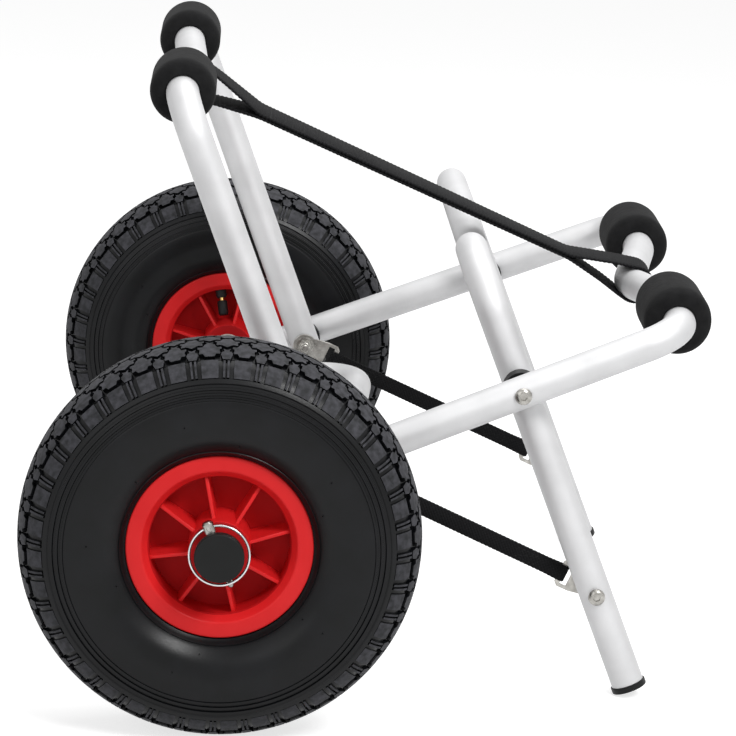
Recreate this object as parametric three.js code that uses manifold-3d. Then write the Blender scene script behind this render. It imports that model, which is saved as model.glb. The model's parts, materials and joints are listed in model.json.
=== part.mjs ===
// A folding kayak cart: two pneumatic wheels on a through axle, a main frame and a support
// frame of bent tube that cross at a pivot and hold a hull on foam pads, and a kickstand.
// Millimetres, +Z up, +X the way it is pulled, Y along the axle. Left is +Y.
// The origin is on the ground, midway between the tyres' rear and the main pads' front.

import * as THREE from "three";
import { mergeVertices } from "three/addons/utils/BufferGeometryUtils.js";
import Module from "manifold-3d";

const wasm = await Module();
wasm.setup();

// Driving dimensions
const wheelDiameter = 260;
const tyreWidth = 84;
const tubeDiameter = 22;
const tubeWall = 1.5;
const padDiameter = 42;
const padLength = 71;
const axleDiameter = 16;

// Angles, in degrees
const frameSlope = 22.5; // the main frame's legs, above level
const supportOpening = 89; // from the main frame's legs to the support frame's
const kickstandOpening = 90; // from the main frame's legs down to the kickstand's
const braceSlope = 4.7;
const ribTurn = 32; // of the first rim rib, from +X

// Clearances and cuts
const gap = 0.3; // between faces that touch
const turningGap = 0.3; // between a bore and the shaft that turns in it
const swingGap = 0.4; // beside a tube that swings past, besides its splay
const overrun = 5; // of a cutting tool past the face that it cuts

// Bent tubes
const bendRadius = 28;
const padEndOverlap = 1; // of a pad past the bend's start
const padEndRounding = 4;
const dipRadius = 60;
const plugStem = 6;
const footStem = 18;
const plugLipRadius = 11;
const plugLipDepth = 3;

// Main frame: lengths along its legs from the axle, half widths from the cart's middle
const supportPivotReach = 64;
const kickstandPivotReach = 212.3;
const mainReach = 326.4;
const mainHalfWidth = 217.5; // at the axle
const mainSplay = 0.0628; // how much narrower, per length along the legs
const mainTail = 15; // of each leg past the axle
const crossbarDip = 18;
const dipHalfWidth = 88;

// Support frame: lengths from its pivot
const supportReach = 259;
const supportInset = 31.5; // of its legs' middles from the main frame's, at the pivot
const supportSplay = 0.027; // wider towards its crossbar
const supportTail = 15;

// Kickstand: lengths from its pivot
const kickstandHead = 96.6; // up to the corners of its crossbar
const kickstandDip = 37;
const kickstandInset = 29.7; // of its legs' middles from the main frame's, at the pivot
const kickstandSplay = 0.0685; // wider towards its feet
const kickstandBendRadius = 42;
const stayBoltReach = 153;
const footRadius = 12;
const footLipDepth = 4;

// Axle brace: lengths from the axle
const braceReach = 101;
const braceInset = 69.5; // of its legs' middles from the main frame's
const braceDip = 12;
const braceBendRadius = 35;
const braceTail = 14;

// Bolts, nuts and washers
const boltDiameter = 6;
const boltHeadDiameter = 11.5;
const boltHeadDepth = 3.6;
const boltSocketAcross = 4.5;
const boltSocketDepth = 2;
const boltEnd = 3; // of thread past the nut
const nutAcross = 10;
const nutDepth = 6;
const washerDiameter = 14;
const washerDepth = 1.4;
const saddleDiameter = 24;
const saddleWrap = 5; // how far a saddle reaches round its tube

// Strap anchors: plates with a bolt eye and a slot
const anchorDepth = 2;
const anchorEyeRadius = 9;
const anchorWidth = 20;
const anchorReach = 24; // from the bolt to the bar that holds the strap
const anchorBar = 3.6;
const anchorSlotLength = 14.5;
const anchorSlotWidth = 4.2;
const anchorChamfer = 2.5;

// Webbing
const cradleWebWidth = 38;
const cradleWebDepth = 1.8;
const cradleLoopSlack = 2.1; // of a loop round its tube
const cradleLoopLift = 2.6; // of a loop's centre from the vertex of the tube's dip
const cradleLoopReach = 42; // from a tube to where its two layers are sewn together
const stayWebWidth = 12.5;
const stayWebDepth = 1.2;
const stayLoopRadius = 2.4;
const stayLoopReach = 12;

// Wheel: half widths are from its centre plane
const hubDiameter = 39.5;
const hubLength = 75;
const bushDiameter = 24;
const bushLength = 22;
const bushFlangeDiameter = 30;
const bushFlangeDepth = 2;
const flangeRadius = 59.75;
const flangeHalfWidth = 28;
const flangeDepth = 3;
const flangeInnerRadius = 49.75;
const beadSeatRadius = 51.5;
const barrelRadius = 45; // of the barrel's inner wall
const barrelHalfWidth = 22; // where the barrel's inner wall meets the flange's cone
const webHalfDepth = 3;
const ribCount = 8;
const ribWidth = 3;
const ribHalfWidthAtHub = 29;
const ribHalfWidthAtBarrel = 20;
const beadHalfWidth = 24.6;
const beadThickness = 8;
const sidewall = 4.5; // the tyre's thickness beside
const treadWall = 9; // and under its tread
const innerTubeSkin = 0.5; // kept free between inner tube and tyre
const innerTubeWall = 2;
const valveBoreRadius = 1.5;
const valveRadius = 3.3;
const valveTipRadius = 23; // from the axle to the stem's end
const valveOffset = 13; // from the centre plane, inboard
const valveTurn = -9.5; // degrees from straight up
const ribRoot = 1; // how far a rib runs into hub and barrel
const treadRepeats = 36; // of the blocks' pattern, round the tyre
const treadDepth = 3;
const treadGroove = 2.6; // between blocks
const shoulderDepth = 1.5; // of the ring beyond the outermost blocks
const edgeBlockWidth = 7.3;
const edgeBlockRim = 1.5; // from an edge block's top to that ring, along the section
const tyreShares = [ // of the height from bead seat to tread, and of the half width
  [0.22, 0.82],
  [0.44, 0.975],
  [0.6, 1],
  [0.8, 0.87],
];
const crownShares = [ // the same, at each row of tread blocks from the middle outwards
  [1, 0],
  [0.992, 0.249],
  [0.962, 0.493],
  [0.897, 0.712],
];
const cavityShares = [
  [0.25, 0.82],
  [0.55, 1],
  [0.8, 0.86],
  [1, 0.45],
];

// Axle ends
const hubWasherDepth = 1.6;
const hubWasherDiameter = 30;
const pinDiameter = 5;
const pinLength = 41;
const pinHeadDiameter = 8;
const pinHeadLength = 8;
const pinHeadHole = 4;
const pinHole = 5.8; // through the axle
const spacerDiameter = 24;
const spacerLength = 23.3;
const spacerRelief = 0.8; // for the leg's splay
const ringDiameter = 39;
const ringWire = 1.8;
const capDiameter = 30.4;
const capDepth = 6.5;
const capFloor = 2;
const capRounding = 1.5;

// Counts of sides and steps
const tubeSides = 12;
const boreSides = 8;
const bendStep = 18; // degrees of bend per step
const wheelSides = 28;
const hubSides = 16;
const roundSides = 12;
const boltSides = 8;
const loopSteps = 8;
const wireSides = 6;

// Sizes that follow from the ones above
const wheelRadius = wheelDiameter / 2;
const tubeRadius = tubeDiameter / 2;
const tubeBoreRadius = tubeRadius - tubeWall;
const padRadius = padDiameter / 2;
const axleRadius = axleDiameter / 2;
const boltRadius = boltDiameter / 2;
const hubRadius = hubDiameter / 2;
const plugStemRadius = tubeBoreRadius * Math.cos(Math.PI / boreSides) - gap;
const slope = THREE.MathUtils.degToRad(frameSlope);
const supportPivotHalfWidth = mainHalfWidthAt(supportPivotReach);
const kickstandPivotHalfWidth = mainHalfWidthAt(kickstandPivotReach);
const supportHalfWidth = supportPivotHalfWidth - supportInset; // at its pivot
const kickstandHalfWidth = kickstandPivotHalfWidth - kickstandInset; // at its pivot
const braceHalfWidth = mainHalfWidth - braceInset;
const spacerStart = mainHalfWidth + tubeRadius + gap + spacerRelief;
const spacerEnd = spacerStart + spacerLength;
const halfTrack = spacerEnd + gap + gap + bushFlangeDepth + hubLength / 2;
const hubFace = halfTrack + hubLength / 2 + bushFlangeDepth + gap;
const pinPlane = hubFace + hubWasherDepth + gap + gap + pinDiameter / 2;
const capBack = pinPlane + pinDiameter / 2 + gap + gap;
const axleHalfLength = capBack + capDepth - capFloor - gap;
const pivotHeight = wheelRadius + kickstandPivotReach * Math.sin(slope);
const footLean = Math.acos(Math.cos(slope) / Math.hypot(1, kickstandSplay));
const footReach = (pivotHeight - footRadius * Math.sin(footLean)) / Math.cos(slope);
const originX = (mainReach * Math.cos(slope) + padRadius - wheelRadius) / 2;

const sides = [
  ["left", 1],
  ["right", -1],
];

const finishes = {
  tube: { color: 0xdcdee0, roughness: 0.38, metalness: 0.75 },
  foam: { color: 0x262626, roughness: 0.95, metalness: 0 },
  webbing: { color: 0x303030, roughness: 0.9, metalness: 0 },
  rubber: { color: 0x2a2a2a, roughness: 0.8, metalness: 0 },
  innerRubber: { color: 0x1c1c1c, roughness: 0.7, metalness: 0 },
  rim: { color: 0xd6262a, roughness: 0.4, metalness: 0 },
  blackPlastic: { color: 0x1e1e1f, roughness: 0.5, metalness: 0 },
  bush: { color: 0xe6e4dc, roughness: 0.5, metalness: 0 },
  zinc: { color: 0xc9c7c0, roughness: 0.32, metalness: 0.9 },
  spring: { color: 0xcfd0d2, roughness: 0.25, metalness: 0.95 },
};

// Half the main frame's width, some way along its legs.
function mainHalfWidthAt(reach) {
  return mainHalfWidth - mainSplay * reach;
}

// Half the support frame's width, some way up from its pivot.
function supportHalfWidthAt(reach) {
  return supportHalfWidth + supportSplay * reach;
}

// Half the kickstand's width, some way down from its pivot.
function kickstandHalfWidthAt(reach) {
  return kickstandHalfWidth + kickstandSplay * reach;
}

// A mesh of one piece, in its finish.
function piece(name, geometry, finish) {
  const mesh = new THREE.Mesh(geometry, new THREE.MeshStandardMaterial(finishes[finish]));
  mesh.name = name;
  return mesh;
}

// A closed geometry as a solid that can be joined and cut.
function toSolid(geometry) {
  const bare = new THREE.BufferGeometry();
  bare.setAttribute("position", geometry.getAttribute("position").clone());
  if (geometry.index) bare.setIndex(geometry.index.clone());
  const merged = mergeVertices(bare, 1e-3);
  return new wasm.Manifold(
    new wasm.Mesh({
      numProp: 3,
      vertProperties: new Float32Array(merged.attributes.position.array),
      triVerts: new Uint32Array(merged.index.array),
    }),
  );
}

// A solid back as a geometry.
function toGeometry(solid) {
  const mesh = solid.getMesh();
  const geometry = new THREE.BufferGeometry();
  geometry.setAttribute("position", new THREE.BufferAttribute(mesh.vertProperties, 3));
  geometry.setIndex(new THREE.BufferAttribute(mesh.triVerts, 1));
  geometry.computeVertexNormals();
  return geometry;
}

// A geometry less the cutting geometries.
function cut(geometry, cutters) {
  const solid = cutters.reduce((rest, cutter) => rest.subtract(toSolid(cutter)), toSolid(geometry));
  return toGeometry(solid);
}

// Several geometries joined to one.
function join(geometries) {
  return toGeometry(geometries.map(toSolid).reduce((whole, solid) => whole.add(solid)));
}

// The corners of a regular outline.
function roundOutline(radius, count) {
  return Array.from({ length: count }, (_, i) => {
    const turn = (2 * Math.PI * i) / count;
    return new THREE.Vector2(radius * Math.cos(turn), radius * Math.sin(turn));
  });
}

// A cylinder along Y between two places on that axis.
function barAlongY(radius, from, to, count = roundSides) {
  const bar = new THREE.CylinderGeometry(radius, radius, Math.abs(to - from), count);
  return bar.translate(0, (from + to) / 2, 0);
}

// A solid turned round the Y axis from [radius, place] pairs, in either order.
function turned(pairs, count, startTurn = 0) {
  const outline = pairs.map(([radius, place]) => new THREE.Vector2(radius, place));
  if (THREE.ShapeUtils.area(outline) < 0) outline.reverse();
  const onAxis = outline[0].x === 0 && outline[outline.length - 1].x === 0;
  if (!onAxis) outline.push(outline[0].clone());
  return new THREE.LatheGeometry(outline, count, startTurn);
}

// A wheel's ring, turned so that the middles of its flats, and not its corners, lie at the
// radii given, and so that it stands on a flat.
function turnedWheel(pairs) {
  const cornerReach = 1 / Math.cos(Math.PI / wheelSides);
  const reached = pairs.map(([radius, place]) => [radius * cornerReach, place]);
  return turned(reached, wheelSides, Math.PI / wheelSides);
}

// A ring, such as a washer, along Y between two places.
function sleeve(outerRadius, innerRadius, from, to, count = roundSides) {
  const pairs = [
    [innerRadius, from],
    [outerRadius, from],
    [outerRadius, to],
    [innerRadius, to],
  ];
  return turned(pairs, count);
}

// A route of straight runs with round bends, sampled only where its direction changes.
class BentRoute extends THREE.Curve {
  constructor(corners) {
    super();
    this.knots = bentKnots(corners);
  }

  getPointAt(share, target = new THREE.Vector3()) {
    return target.copy(this.knots[Math.round(share * (this.knots.length - 1))].point);
  }

  getTangentAt(share, target = new THREE.Vector3()) {
    return target.copy(this.knots[Math.round(share * (this.knots.length - 1))].heading);
  }

  get steps() {
    return this.knots.length - 1;
  }
}

// The knots of a bent route: each is a point and the heading there.
function bentKnots(corners) {
  const knots = [];
  const headings = corners
    .slice(1)
    .map((corner, i) => corner.point.clone().sub(corners[i].point).normalize());
  knots.push({ point: corners[0].point, heading: headings[0] });
  for (let i = 1; i < corners.length - 1; i += 1) {
    knots.push(...bendKnots(corners[i], headings[i - 1], headings[i]));
  }
  const last = corners.length - 1;
  knots.push({ point: corners[last].point, heading: headings[last - 1] });
  return knots;
}

// The knots of one round bend.
function bendKnots(corner, into, outOf) {
  const angle = into.angleTo(outOf);
  const setback = corner.radius * Math.tan(angle / 2);
  const start = corner.point.clone().addScaledVector(into, -setback);
  const axis = into.clone().cross(outOf).normalize();
  const towardsCentre = axis.clone().cross(into).multiplyScalar(corner.radius);
  const centre = start.clone().add(towardsCentre);
  const count = Math.max(2, Math.ceil(THREE.MathUtils.radToDeg(angle) / bendStep));
  return Array.from({ length: count + 1 }, (_, i) => {
    const turn = (angle * i) / count;
    const arm = towardsCentre.clone().negate().applyAxisAngle(axis, turn);
    return { point: centre.clone().add(arm), heading: into.clone().applyAxisAngle(axis, turn) };
  });
}

// The radius of a flat-sided bore that clears a shaft.
function boreFor(shaftRadius, count = boltSides) {
  return (shaftRadius + gap) / Math.cos(Math.PI / count);
}

// A round bar along a bent route, hollow where a bore is given.
function routedTube(route, radius, bore = 0) {
  const section = new THREE.Shape(roundOutline(radius, tubeSides));
  if (bore > 0) section.holes.push(new THREE.Path(roundOutline(bore, boreSides)));
  return new THREE.ExtrudeGeometry(section, { steps: route.steps, extrudePath: route });
}

// A corner of a U frame: some way along its legs, some way across, with its bend.
function corner(along, across, radius = 0) {
  return { point: new THREE.Vector3(along, across, 0), radius };
}

// A U frame's route from one leg's end round its crossbar to the other's. The crossbar
// dips towards the legs' ends, from dipStart on either side of the middle.
function frameRoute(end, head, widthAt, bend, dip, dipStart) {
  const towardsEnd = Math.sign(end - head);
  const half = [corner(end, widthAt(end)), corner(head, widthAt(head), bend)];
  if (dipStart) half.push(corner(head, dipStart, dipRadius));
  const vertex = corner(head + towardsEnd * dip, 0, dipRadius);
  const mirrored = half.map(({ point, radius }) => corner(point.x, -point.y, radius)).reverse();
  return new BentRoute([...half, vertex, ...mirrored]);
}

// The routes of the four bent tubes, each in its own frame's group.
const routes = {
  main: frameRoute(-mainTail, mainReach, mainHalfWidthAt, bendRadius, crossbarDip, dipHalfWidth),
  support: frameRoute(
    -supportTail,
    supportReach,
    supportHalfWidthAt,
    bendRadius,
    crossbarDip,
    dipHalfWidth,
  ),
  kickstand: frameRoute(
    footReach - (footLipDepth + gap) / Math.hypot(1, kickstandSplay),
    -kickstandHead,
    kickstandHalfWidthAt,
    kickstandBendRadius,
    kickstandDip,
    0,
  ),
  brace: frameRoute(-braceTail, braceReach, () => braceHalfWidth, braceBendRadius, braceDip, 0),
};

// A frame's tube with cross holes, each [place along its legs, radius].
function drilledTube(route, holes) {
  const reach = mainHalfWidth + tubeDiameter;
  const drills = holes.map(([along, radius]) =>
    barAlongY(radius, -reach, reach, boltSides).translate(along, 0, 0),
  );
  return cut(routedTube(route, tubeRadius, tubeBoreRadius), drills);
}

// A foam sleeve on a crossbar, ending where the corner bend begins.
function foamPad(cornerHalfWidth) {
  const outer = cornerHalfWidth - bendRadius + padEndOverlap;
  const round = padEndRounding;
  const bore = boreFor(tubeRadius, roundSides);
  const pairs = [
    [bore, outer],
    [padRadius - round, outer],
    [padRadius, outer - round],
    [padRadius, outer - padLength + round],
    [padRadius - round, outer - padLength],
    [bore, outer - padLength],
  ];
  return turned(pairs, roundSides);
}

// An end plug along Y: a stem in the tube and a lip over its end.
function endPlug(name, lipRadius, lipDepth, stemLength) {
  const pairs = [
    [0, -stemLength],
    [plugStemRadius, -stemLength],
    [plugStemRadius, gap],
    [lipRadius, gap],
    [lipRadius, gap + lipDepth],
    [0, gap + lipDepth],
  ];
  return piece(name, turned(pairs, roundSides), "blackPlastic");
}

// Sets a piece that was made along Y on a route's end, facing out of it.
function seatOnEnd(mesh, route, atStart) {
  const knot = route.knots[atStart ? 0 : route.knots.length - 1];
  const outwards = knot.heading.clone().multiplyScalar(atStart ? -1 : 1);
  mesh.quaternion.setFromUnitVectors(new THREE.Vector3(0, 1, 0), outwards);
  mesh.position.copy(knot.point);
  return mesh;
}

// A bolt along Y: head outside, shank inwards. Places are half widths.
function bolt(headSeat, end) {
  const head = barAlongY(boltHeadDiameter / 2, headSeat, headSeat + boltHeadDepth);
  const shank = barAlongY(boltRadius, end, headSeat + boltHeadDepth / 2, boltSides);
  const top = headSeat + boltHeadDepth;
  const socketRadius = boltSocketAcross / Math.sqrt(3);
  const socket = barAlongY(socketRadius, top - boltSocketDepth, top + overrun, 6);
  return cut(join([head, shank]), [socket]);
}

// A hexagon nut along Y between two places.
function nut(from) {
  const outer = barAlongY(nutAcross / Math.sqrt(3), from, from + nutDepth, 6);
  const top = from + nutDepth + overrun;
  return cut(outer, [barAlongY(boreFor(boltRadius), from - overrun, top, boltSides)]);
}

// A black saddle between two tubes: hollowed for the main frame's leg, flat for the other.
function saddle(flat, legHalfWidth, along) {
  const bar = barAlongY(saddleDiameter / 2, flat, legHalfWidth - tubeRadius + saddleWrap);
  const leg = routedTube(routes.main, tubeRadius + gap).translate(-along, 0, 0);
  const drill = barAlongY(boreFor(boltRadius), flat - overrun, legHalfWidth, boltSides);
  return cut(bar, [leg, drill]);
}

// A stamped strap anchor in the XZ plane, its bolt eye at the origin, reaching along +X.
function anchorPlate() {
  const end = anchorReach + anchorBar / 2;
  const shoulder = anchorReach - anchorBar / 2 - anchorSlotWidth - anchorChamfer;
  const half = anchorWidth / 2;
  const outline = new THREE.Shape();
  outline.moveTo(shoulder, -half);
  outline.lineTo(end - anchorChamfer, -half);
  outline.lineTo(end, -half + anchorChamfer);
  outline.lineTo(end, half - anchorChamfer);
  outline.lineTo(end - anchorChamfer, half);
  outline.lineTo(shoulder, half);
  outline.absarc(0, 0, anchorEyeRadius, Math.PI / 3, -Math.PI / 3, false);
  const slotEnd = anchorReach - anchorBar / 2;
  const slot = new THREE.Path();
  slot.moveTo(slotEnd, -anchorSlotLength / 2);
  slot.lineTo(slotEnd - anchorSlotWidth, -anchorSlotLength / 2);
  slot.lineTo(slotEnd - anchorSlotWidth, anchorSlotLength / 2);
  slot.lineTo(slotEnd, anchorSlotLength / 2);
  const eye = new THREE.Path(roundOutline(boreFor(boltRadius), boltSides));
  outline.holes.push(slot, eye);
  const plate = new THREE.ExtrudeGeometry(outline, {
    depth: anchorDepth,
    bevelEnabled: false,
    curveSegments: loopSteps,
  });
  return plate.translate(0, 0, -anchorDepth / 2).rotateX(-Math.PI / 2);
}

// The points of a strap loop round (0, 0), open towards +X by half the angle given.
function loopArc(radius, open) {
  return Array.from({ length: loopSteps + 1 }, (_, i) => {
    const turn = open + ((2 * Math.PI - 2 * open) * i) / loopSteps;
    return new THREE.Vector2(radius * Math.cos(turn), radius * Math.sin(turn));
  });
}

// A strap along X from a loop round (0, 0) to one round (length, 0). Its two layers lie
// together between the loops. Its width is along Z, or along Y where it is turned after.
function loopedStrap(length, radius, reach, depth, width) {
  const open = Math.acos(radius / reach);
  const joinAt = (radius + depth - depth * Math.sin(open)) / Math.cos(open);
  const mirror = (points) => points.map(({ x, y }) => new THREE.Vector2(length - x, -y));
  const outerLoop = loopArc(radius + depth, open);
  const halfOutline = [new THREE.Vector2(joinAt, depth), ...outerLoop, new THREE.Vector2(joinAt, -depth)];
  const hole = [new THREE.Vector2(reach, 0), ...loopArc(radius, open)];
  const shape = new THREE.Shape([...halfOutline, ...mirror(halfOutline)]);
  shape.holes.push(new THREE.Path(hole), new THREE.Path(mirror(hole)));
  const strap = new THREE.ExtrudeGeometry(shape, { depth: width, bevelEnabled: false });
  return strap.translate(0, 0, -width / 2);
}

// Places on the other side of a wheel's centre plane.
function flipped(run) {
  return run.map(([radius, place]) => [radius, -place]);
}

// A radius between the bead seat and the tread.
function tyreRadiusAt(share) {
  return beadSeatRadius + (wheelRadius - beadSeatRadius) * share;
}

// A closed surface, gathered from points and from the triangles between them.
class Skin {
  points = [];
  faces = [];

  add(point) {
    this.points.push(point);
    return this.points.length - 1;
  }

  // A ring of points round the Y axis, its flats' middles at the radius given.
  ring(radius, place, count) {
    const reach = radius / Math.cos(Math.PI / count);
    return Array.from({ length: count }, (_, i) => {
      const turn = (2 * Math.PI * (i + 1 / 2)) / count;
      return { turn, at: this.add(pointRoundAxle(turn, reach, place)) };
    });
  }

  // Fills the band between two rings, which may have different counts.
  fillBand(low, high) {
    const turnAt = (ring, i) => ring[i % ring.length].turn + (i < ring.length ? 0 : 2 * Math.PI);
    const at = (ring, i) => ring[i % ring.length].at;
    for (let i = 0, j = 0; i < low.length || j < high.length; ) {
      const nextIsLow = j === high.length || (i < low.length && turnAt(low, i + 1) <= turnAt(high, j + 1));
      if (nextIsLow) {
        this.faces.push([at(low, i), at(low, i + 1), at(high, j)]);
        i += 1;
      } else {
        this.faces.push([at(low, i), at(high, j + 1), at(high, j)]);
        j += 1;
      }
    }
  }

  toGeometry() {
    const geometry = new THREE.BufferGeometry().setFromPoints(this.points);
    geometry.setIndex(this.faces.flat());
    geometry.computeVertexNormals();
    return geometry;
  }
}

// A point round the Y axis, its turn counted from straight up.
function pointRoundAxle(turn, radius, place) {
  return new THREE.Vector3(radius * Math.sin(turn), place, radius * Math.cos(turn));
}

// The [radius, place] of the tyre's crown at a row of its blocks, whole or between two.
function crownAt(row) {
  const inner = Math.min(Math.floor(Math.abs(row)), crownShares.length - 2);
  const share = Math.abs(row) - inner;
  const [height, width] = [0, 1].map((i) =>
    THREE.MathUtils.lerp(crownShares[inner][i], crownShares[inner + 1][i], share),
  );
  return [tyreRadiusAt(height), (Math.sign(row) * tyreWidth * width) / 2];
}

// The tread: rows of diamond blocks with V grooves between them, and half blocks at both
// edges. It is laid on a net of half pitches round the tyre and rows across it.
class Tread {
  halfPitch = Math.PI / treadRepeats;
  steps = 2 * treadRepeats;
  outermost = crownShares.length - 1;
  rowSpacing = Math.hypot(...crownAt(1).map((value, i) => value - crownAt(0)[i]));
  lean = Math.atan2(this.rowSpacing, wheelRadius * this.halfPitch);
  tipInset = treadGroove / 2 / Math.sin(this.lean) / wheelRadius;
  rowInset = treadGroove / 2 / Math.cos(this.lean) / this.rowSpacing;
  net = new Map();

  constructor(skin) {
    this.skin = skin;
  }

  // A knot of the net, on the grooves' floor. It is made the first time that it is asked for.
  knot(step, row) {
    const around = (step + this.steps) % this.steps;
    const key = `${around} ${row}`;
    if (!this.net.has(key)) {
      const [radius, place] = crownAt(row);
      const sunk = Math.abs(row) === this.outermost ? shoulderDepth : treadDepth;
      this.net.set(key, this.skin.add(pointRoundAxle(around * this.halfPitch, radius - sunk, place)));
    }
    return this.net.get(key);
  }

  // A corner of a block's flat top, which lies an angle aside of the block's middle.
  corner(step, row, aside = 0) {
    const [radius, place] = crownAt(row);
    const turn = step * this.halfPitch + aside;
    return this.skin.add(pointRoundAxle(turn, radius / Math.cos(aside), place));
  }

  addBlock(step, row) {
    const aside = this.halfPitch - this.tipInset;
    const tops = [
      this.corner(step, row, aside),
      this.corner(step, row + 1 - this.rowInset),
      this.corner(step, row, -aside),
      this.corner(step, row - 1 + this.rowInset),
    ];
    const feet = [
      this.knot(step + 1, row),
      this.knot(step, row + 1),
      this.knot(step - 1, row),
      this.knot(step, row - 1),
    ];
    this.skin.faces.push([tops[0], tops[1], tops[2]], [tops[0], tops[2], tops[3]]);
    feet.forEach((foot, i) => {
      const next = (i + 1) % feet.length;
      this.skin.faces.push([foot, feet[next], tops[next]], [foot, tops[next], tops[i]]);
    });
  }

  // Half a block: a triangle that points to the middle, with a wall at the shoulder.
  addEdgeBlock(step, side) {
    const rim = side * (this.outermost - edgeBlockRim / this.rowSpacing);
    const aside = edgeBlockWidth / 2 / wheelRadius;
    const inner = this.corner(step, side * (this.outermost - 1 + this.rowInset));
    const after = this.corner(step, rim, aside);
    const before = this.corner(step, rim, -aside);
    const foot = this.knot(step, side * (this.outermost - 1));
    const [footBefore, middle, footAfter] = [-1, 0, 1].map((i) =>
      this.knot(step + i, side * this.outermost),
    );
    const faces = [
      [inner, after, before],
      [foot, footAfter, after],
      [foot, after, inner],
      [footAfter, middle, after],
      [middle, before, after],
      [middle, footBefore, before],
      [footBefore, foot, inner],
      [footBefore, inner, before],
    ];
    this.skin.faces.push(...faces.map((face) => (side > 0 ? face : face.reverse())));
  }

  addBlocks() {
    for (let row = 1 - this.outermost; row < this.outermost; row += 1) {
      for (let step = Math.abs(row % 2); step < this.steps; step += 2) this.addBlock(step, row);
    }
    for (let step = this.outermost % 2; step < this.steps; step += 2) {
      for (const side of [1, -1]) this.addEdgeBlock(step, side);
    }
  }

  // The ring of the net at an edge of the tread, where the shoulder starts.
  edge(side) {
    return Array.from({ length: this.steps }, (_, step) => ({
      turn: step * this.halfPitch,
      at: this.knot(step, side * this.outermost),
    }));
  }
}

// The tyre: a C section, open to the rim, with its tread.
function tyre() {
  const outer = [
    [beadSeatRadius + gap, beadHalfWidth],
    [flangeRadius + gap, beadHalfWidth],
    [flangeRadius + gap + gap, flangeHalfWidth + gap],
    ...tyreShares.map(([height, width]) => [tyreRadiusAt(height), (tyreWidth / 2) * width]),
  ];
  const inner = [
    [beadSeatRadius + gap, beadHalfWidth - beadThickness],
    ...cavityShares.map(([height, width]) => [
      Math.min(tyreRadiusAt(height), wheelRadius - treadWall),
      (tyreWidth / 2) * width - sidewall,
    ]),
  ];
  const skin = new Skin();
  const tread = new Tread(skin);
  tread.addBlocks();
  const run = [...outer.slice().reverse(), ...inner, ...flipped(inner).reverse(), ...flipped(outer)];
  const rings = run.map(([radius, place]) => skin.ring(radius, place, wheelSides));
  const loop = [tread.edge(1), ...rings, tread.edge(-1)];
  loop.slice(1).forEach((ring, i) => skin.fillBand(loop[i], ring));
  return skin.toGeometry();
}

// A round ring that fits in the tyre, some way in from the tyre's inner face.
function ringInTyre(inset) {
  const run = [
    [beadSeatRadius + gap + inset, beadHalfWidth - beadThickness - innerTubeSkin - inset],
    ...cavityShares.map(([height, width]) => [
      Math.min(tyreRadiusAt(height), wheelRadius - treadWall) - innerTubeSkin - inset,
      (tyreWidth / 2) * width - sidewall - innerTubeSkin - inset,
    ]),
  ];
  return turnedWheel([...run, ...flipped(run).reverse()]);
}

// A bar along the valve's line between two radii, inboard of the wheel's centre plane.
function barAlongValve(radius, from, to) {
  const bar = new THREE.CylinderGeometry(radius, radius, to - from, boltSides);
  bar.translate(0, (from + to) / 2, 0).rotateX(Math.PI / 2);
  return bar.rotateY(THREE.MathUtils.degToRad(valveTurn)).translate(0, -valveOffset, 0);
}

// The inner tube, blown up in the tyre, with its open valve stem down through the rim.
function innerTube() {
  const stem = barAlongValve(valveRadius, valveTipRadius, beadSeatRadius + innerTubeWall);
  const bore = barAlongValve(valveBoreRadius, valveTipRadius - overrun, flangeRadius);
  return cut(join([ringInTyre(0), stem]), [ringInTyre(innerTubeWall), bore]);
}

// One half of a rib on either face of the rim's web, along +X.
function rib() {
  const inner = hubRadius - ribRoot;
  const outer = barrelRadius + ribRoot;
  const outline = new THREE.Shape([
    new THREE.Vector2(inner, -ribHalfWidthAtHub),
    new THREE.Vector2(outer, -ribHalfWidthAtBarrel),
    new THREE.Vector2(outer, ribHalfWidthAtBarrel),
    new THREE.Vector2(inner, ribHalfWidthAtHub),
  ]);
  const plate = new THREE.ExtrudeGeometry(outline, { depth: ribWidth, bevelEnabled: false });
  return plate.translate(0, 0, -ribWidth / 2);
}

// The rim: barrel and flanges, web, ribs and hub in one moulding.
function rim() {
  const outer = [
    [beadSeatRadius, 0],
    [beadSeatRadius, flangeHalfWidth - flangeDepth],
    [flangeRadius, flangeHalfWidth - flangeDepth],
    [flangeRadius, flangeHalfWidth],
    [flangeInnerRadius, flangeHalfWidth],
    [barrelRadius, barrelHalfWidth],
  ];
  const barrel = turnedWheel([...outer, ...flipped(outer).reverse()]);
  const hub = sleeve(hubRadius, bushDiameter / 2 + gap, -hubLength / 2, hubLength / 2, hubSides);
  const web = sleeve(barrelRadius + ribRoot, hubRadius - ribRoot, -webHalfDepth, webHalfDepth, hubSides);
  const ribs = Array.from({ length: ribCount }, (_, i) => {
    const turn = THREE.MathUtils.degToRad(ribTurn) + (2 * Math.PI * i) / ribCount;
    return rib().rotateY(-turn);
  });
  const stemHole = barAlongValve(valveRadius + gap, barrelRadius - overrun, flangeRadius);
  return cut(join([barrel, hub, web, ...ribs]), [stemHole]);
}

// A flanged bush in one end of the hub, for the wheel's +Y end.
function bush() {
  const face = hubLength / 2;
  const pairs = [
    [axleRadius + turningGap, face - bushLength],
    [bushDiameter / 2, face - bushLength],
    [bushDiameter / 2, face + gap],
    [bushFlangeDiameter / 2, face + gap],
    [bushFlangeDiameter / 2, face + gap + bushFlangeDepth],
    [axleRadius + turningGap, face + gap + bushFlangeDepth],
  ];
  return turned(pairs, hubSides);
}

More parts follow.
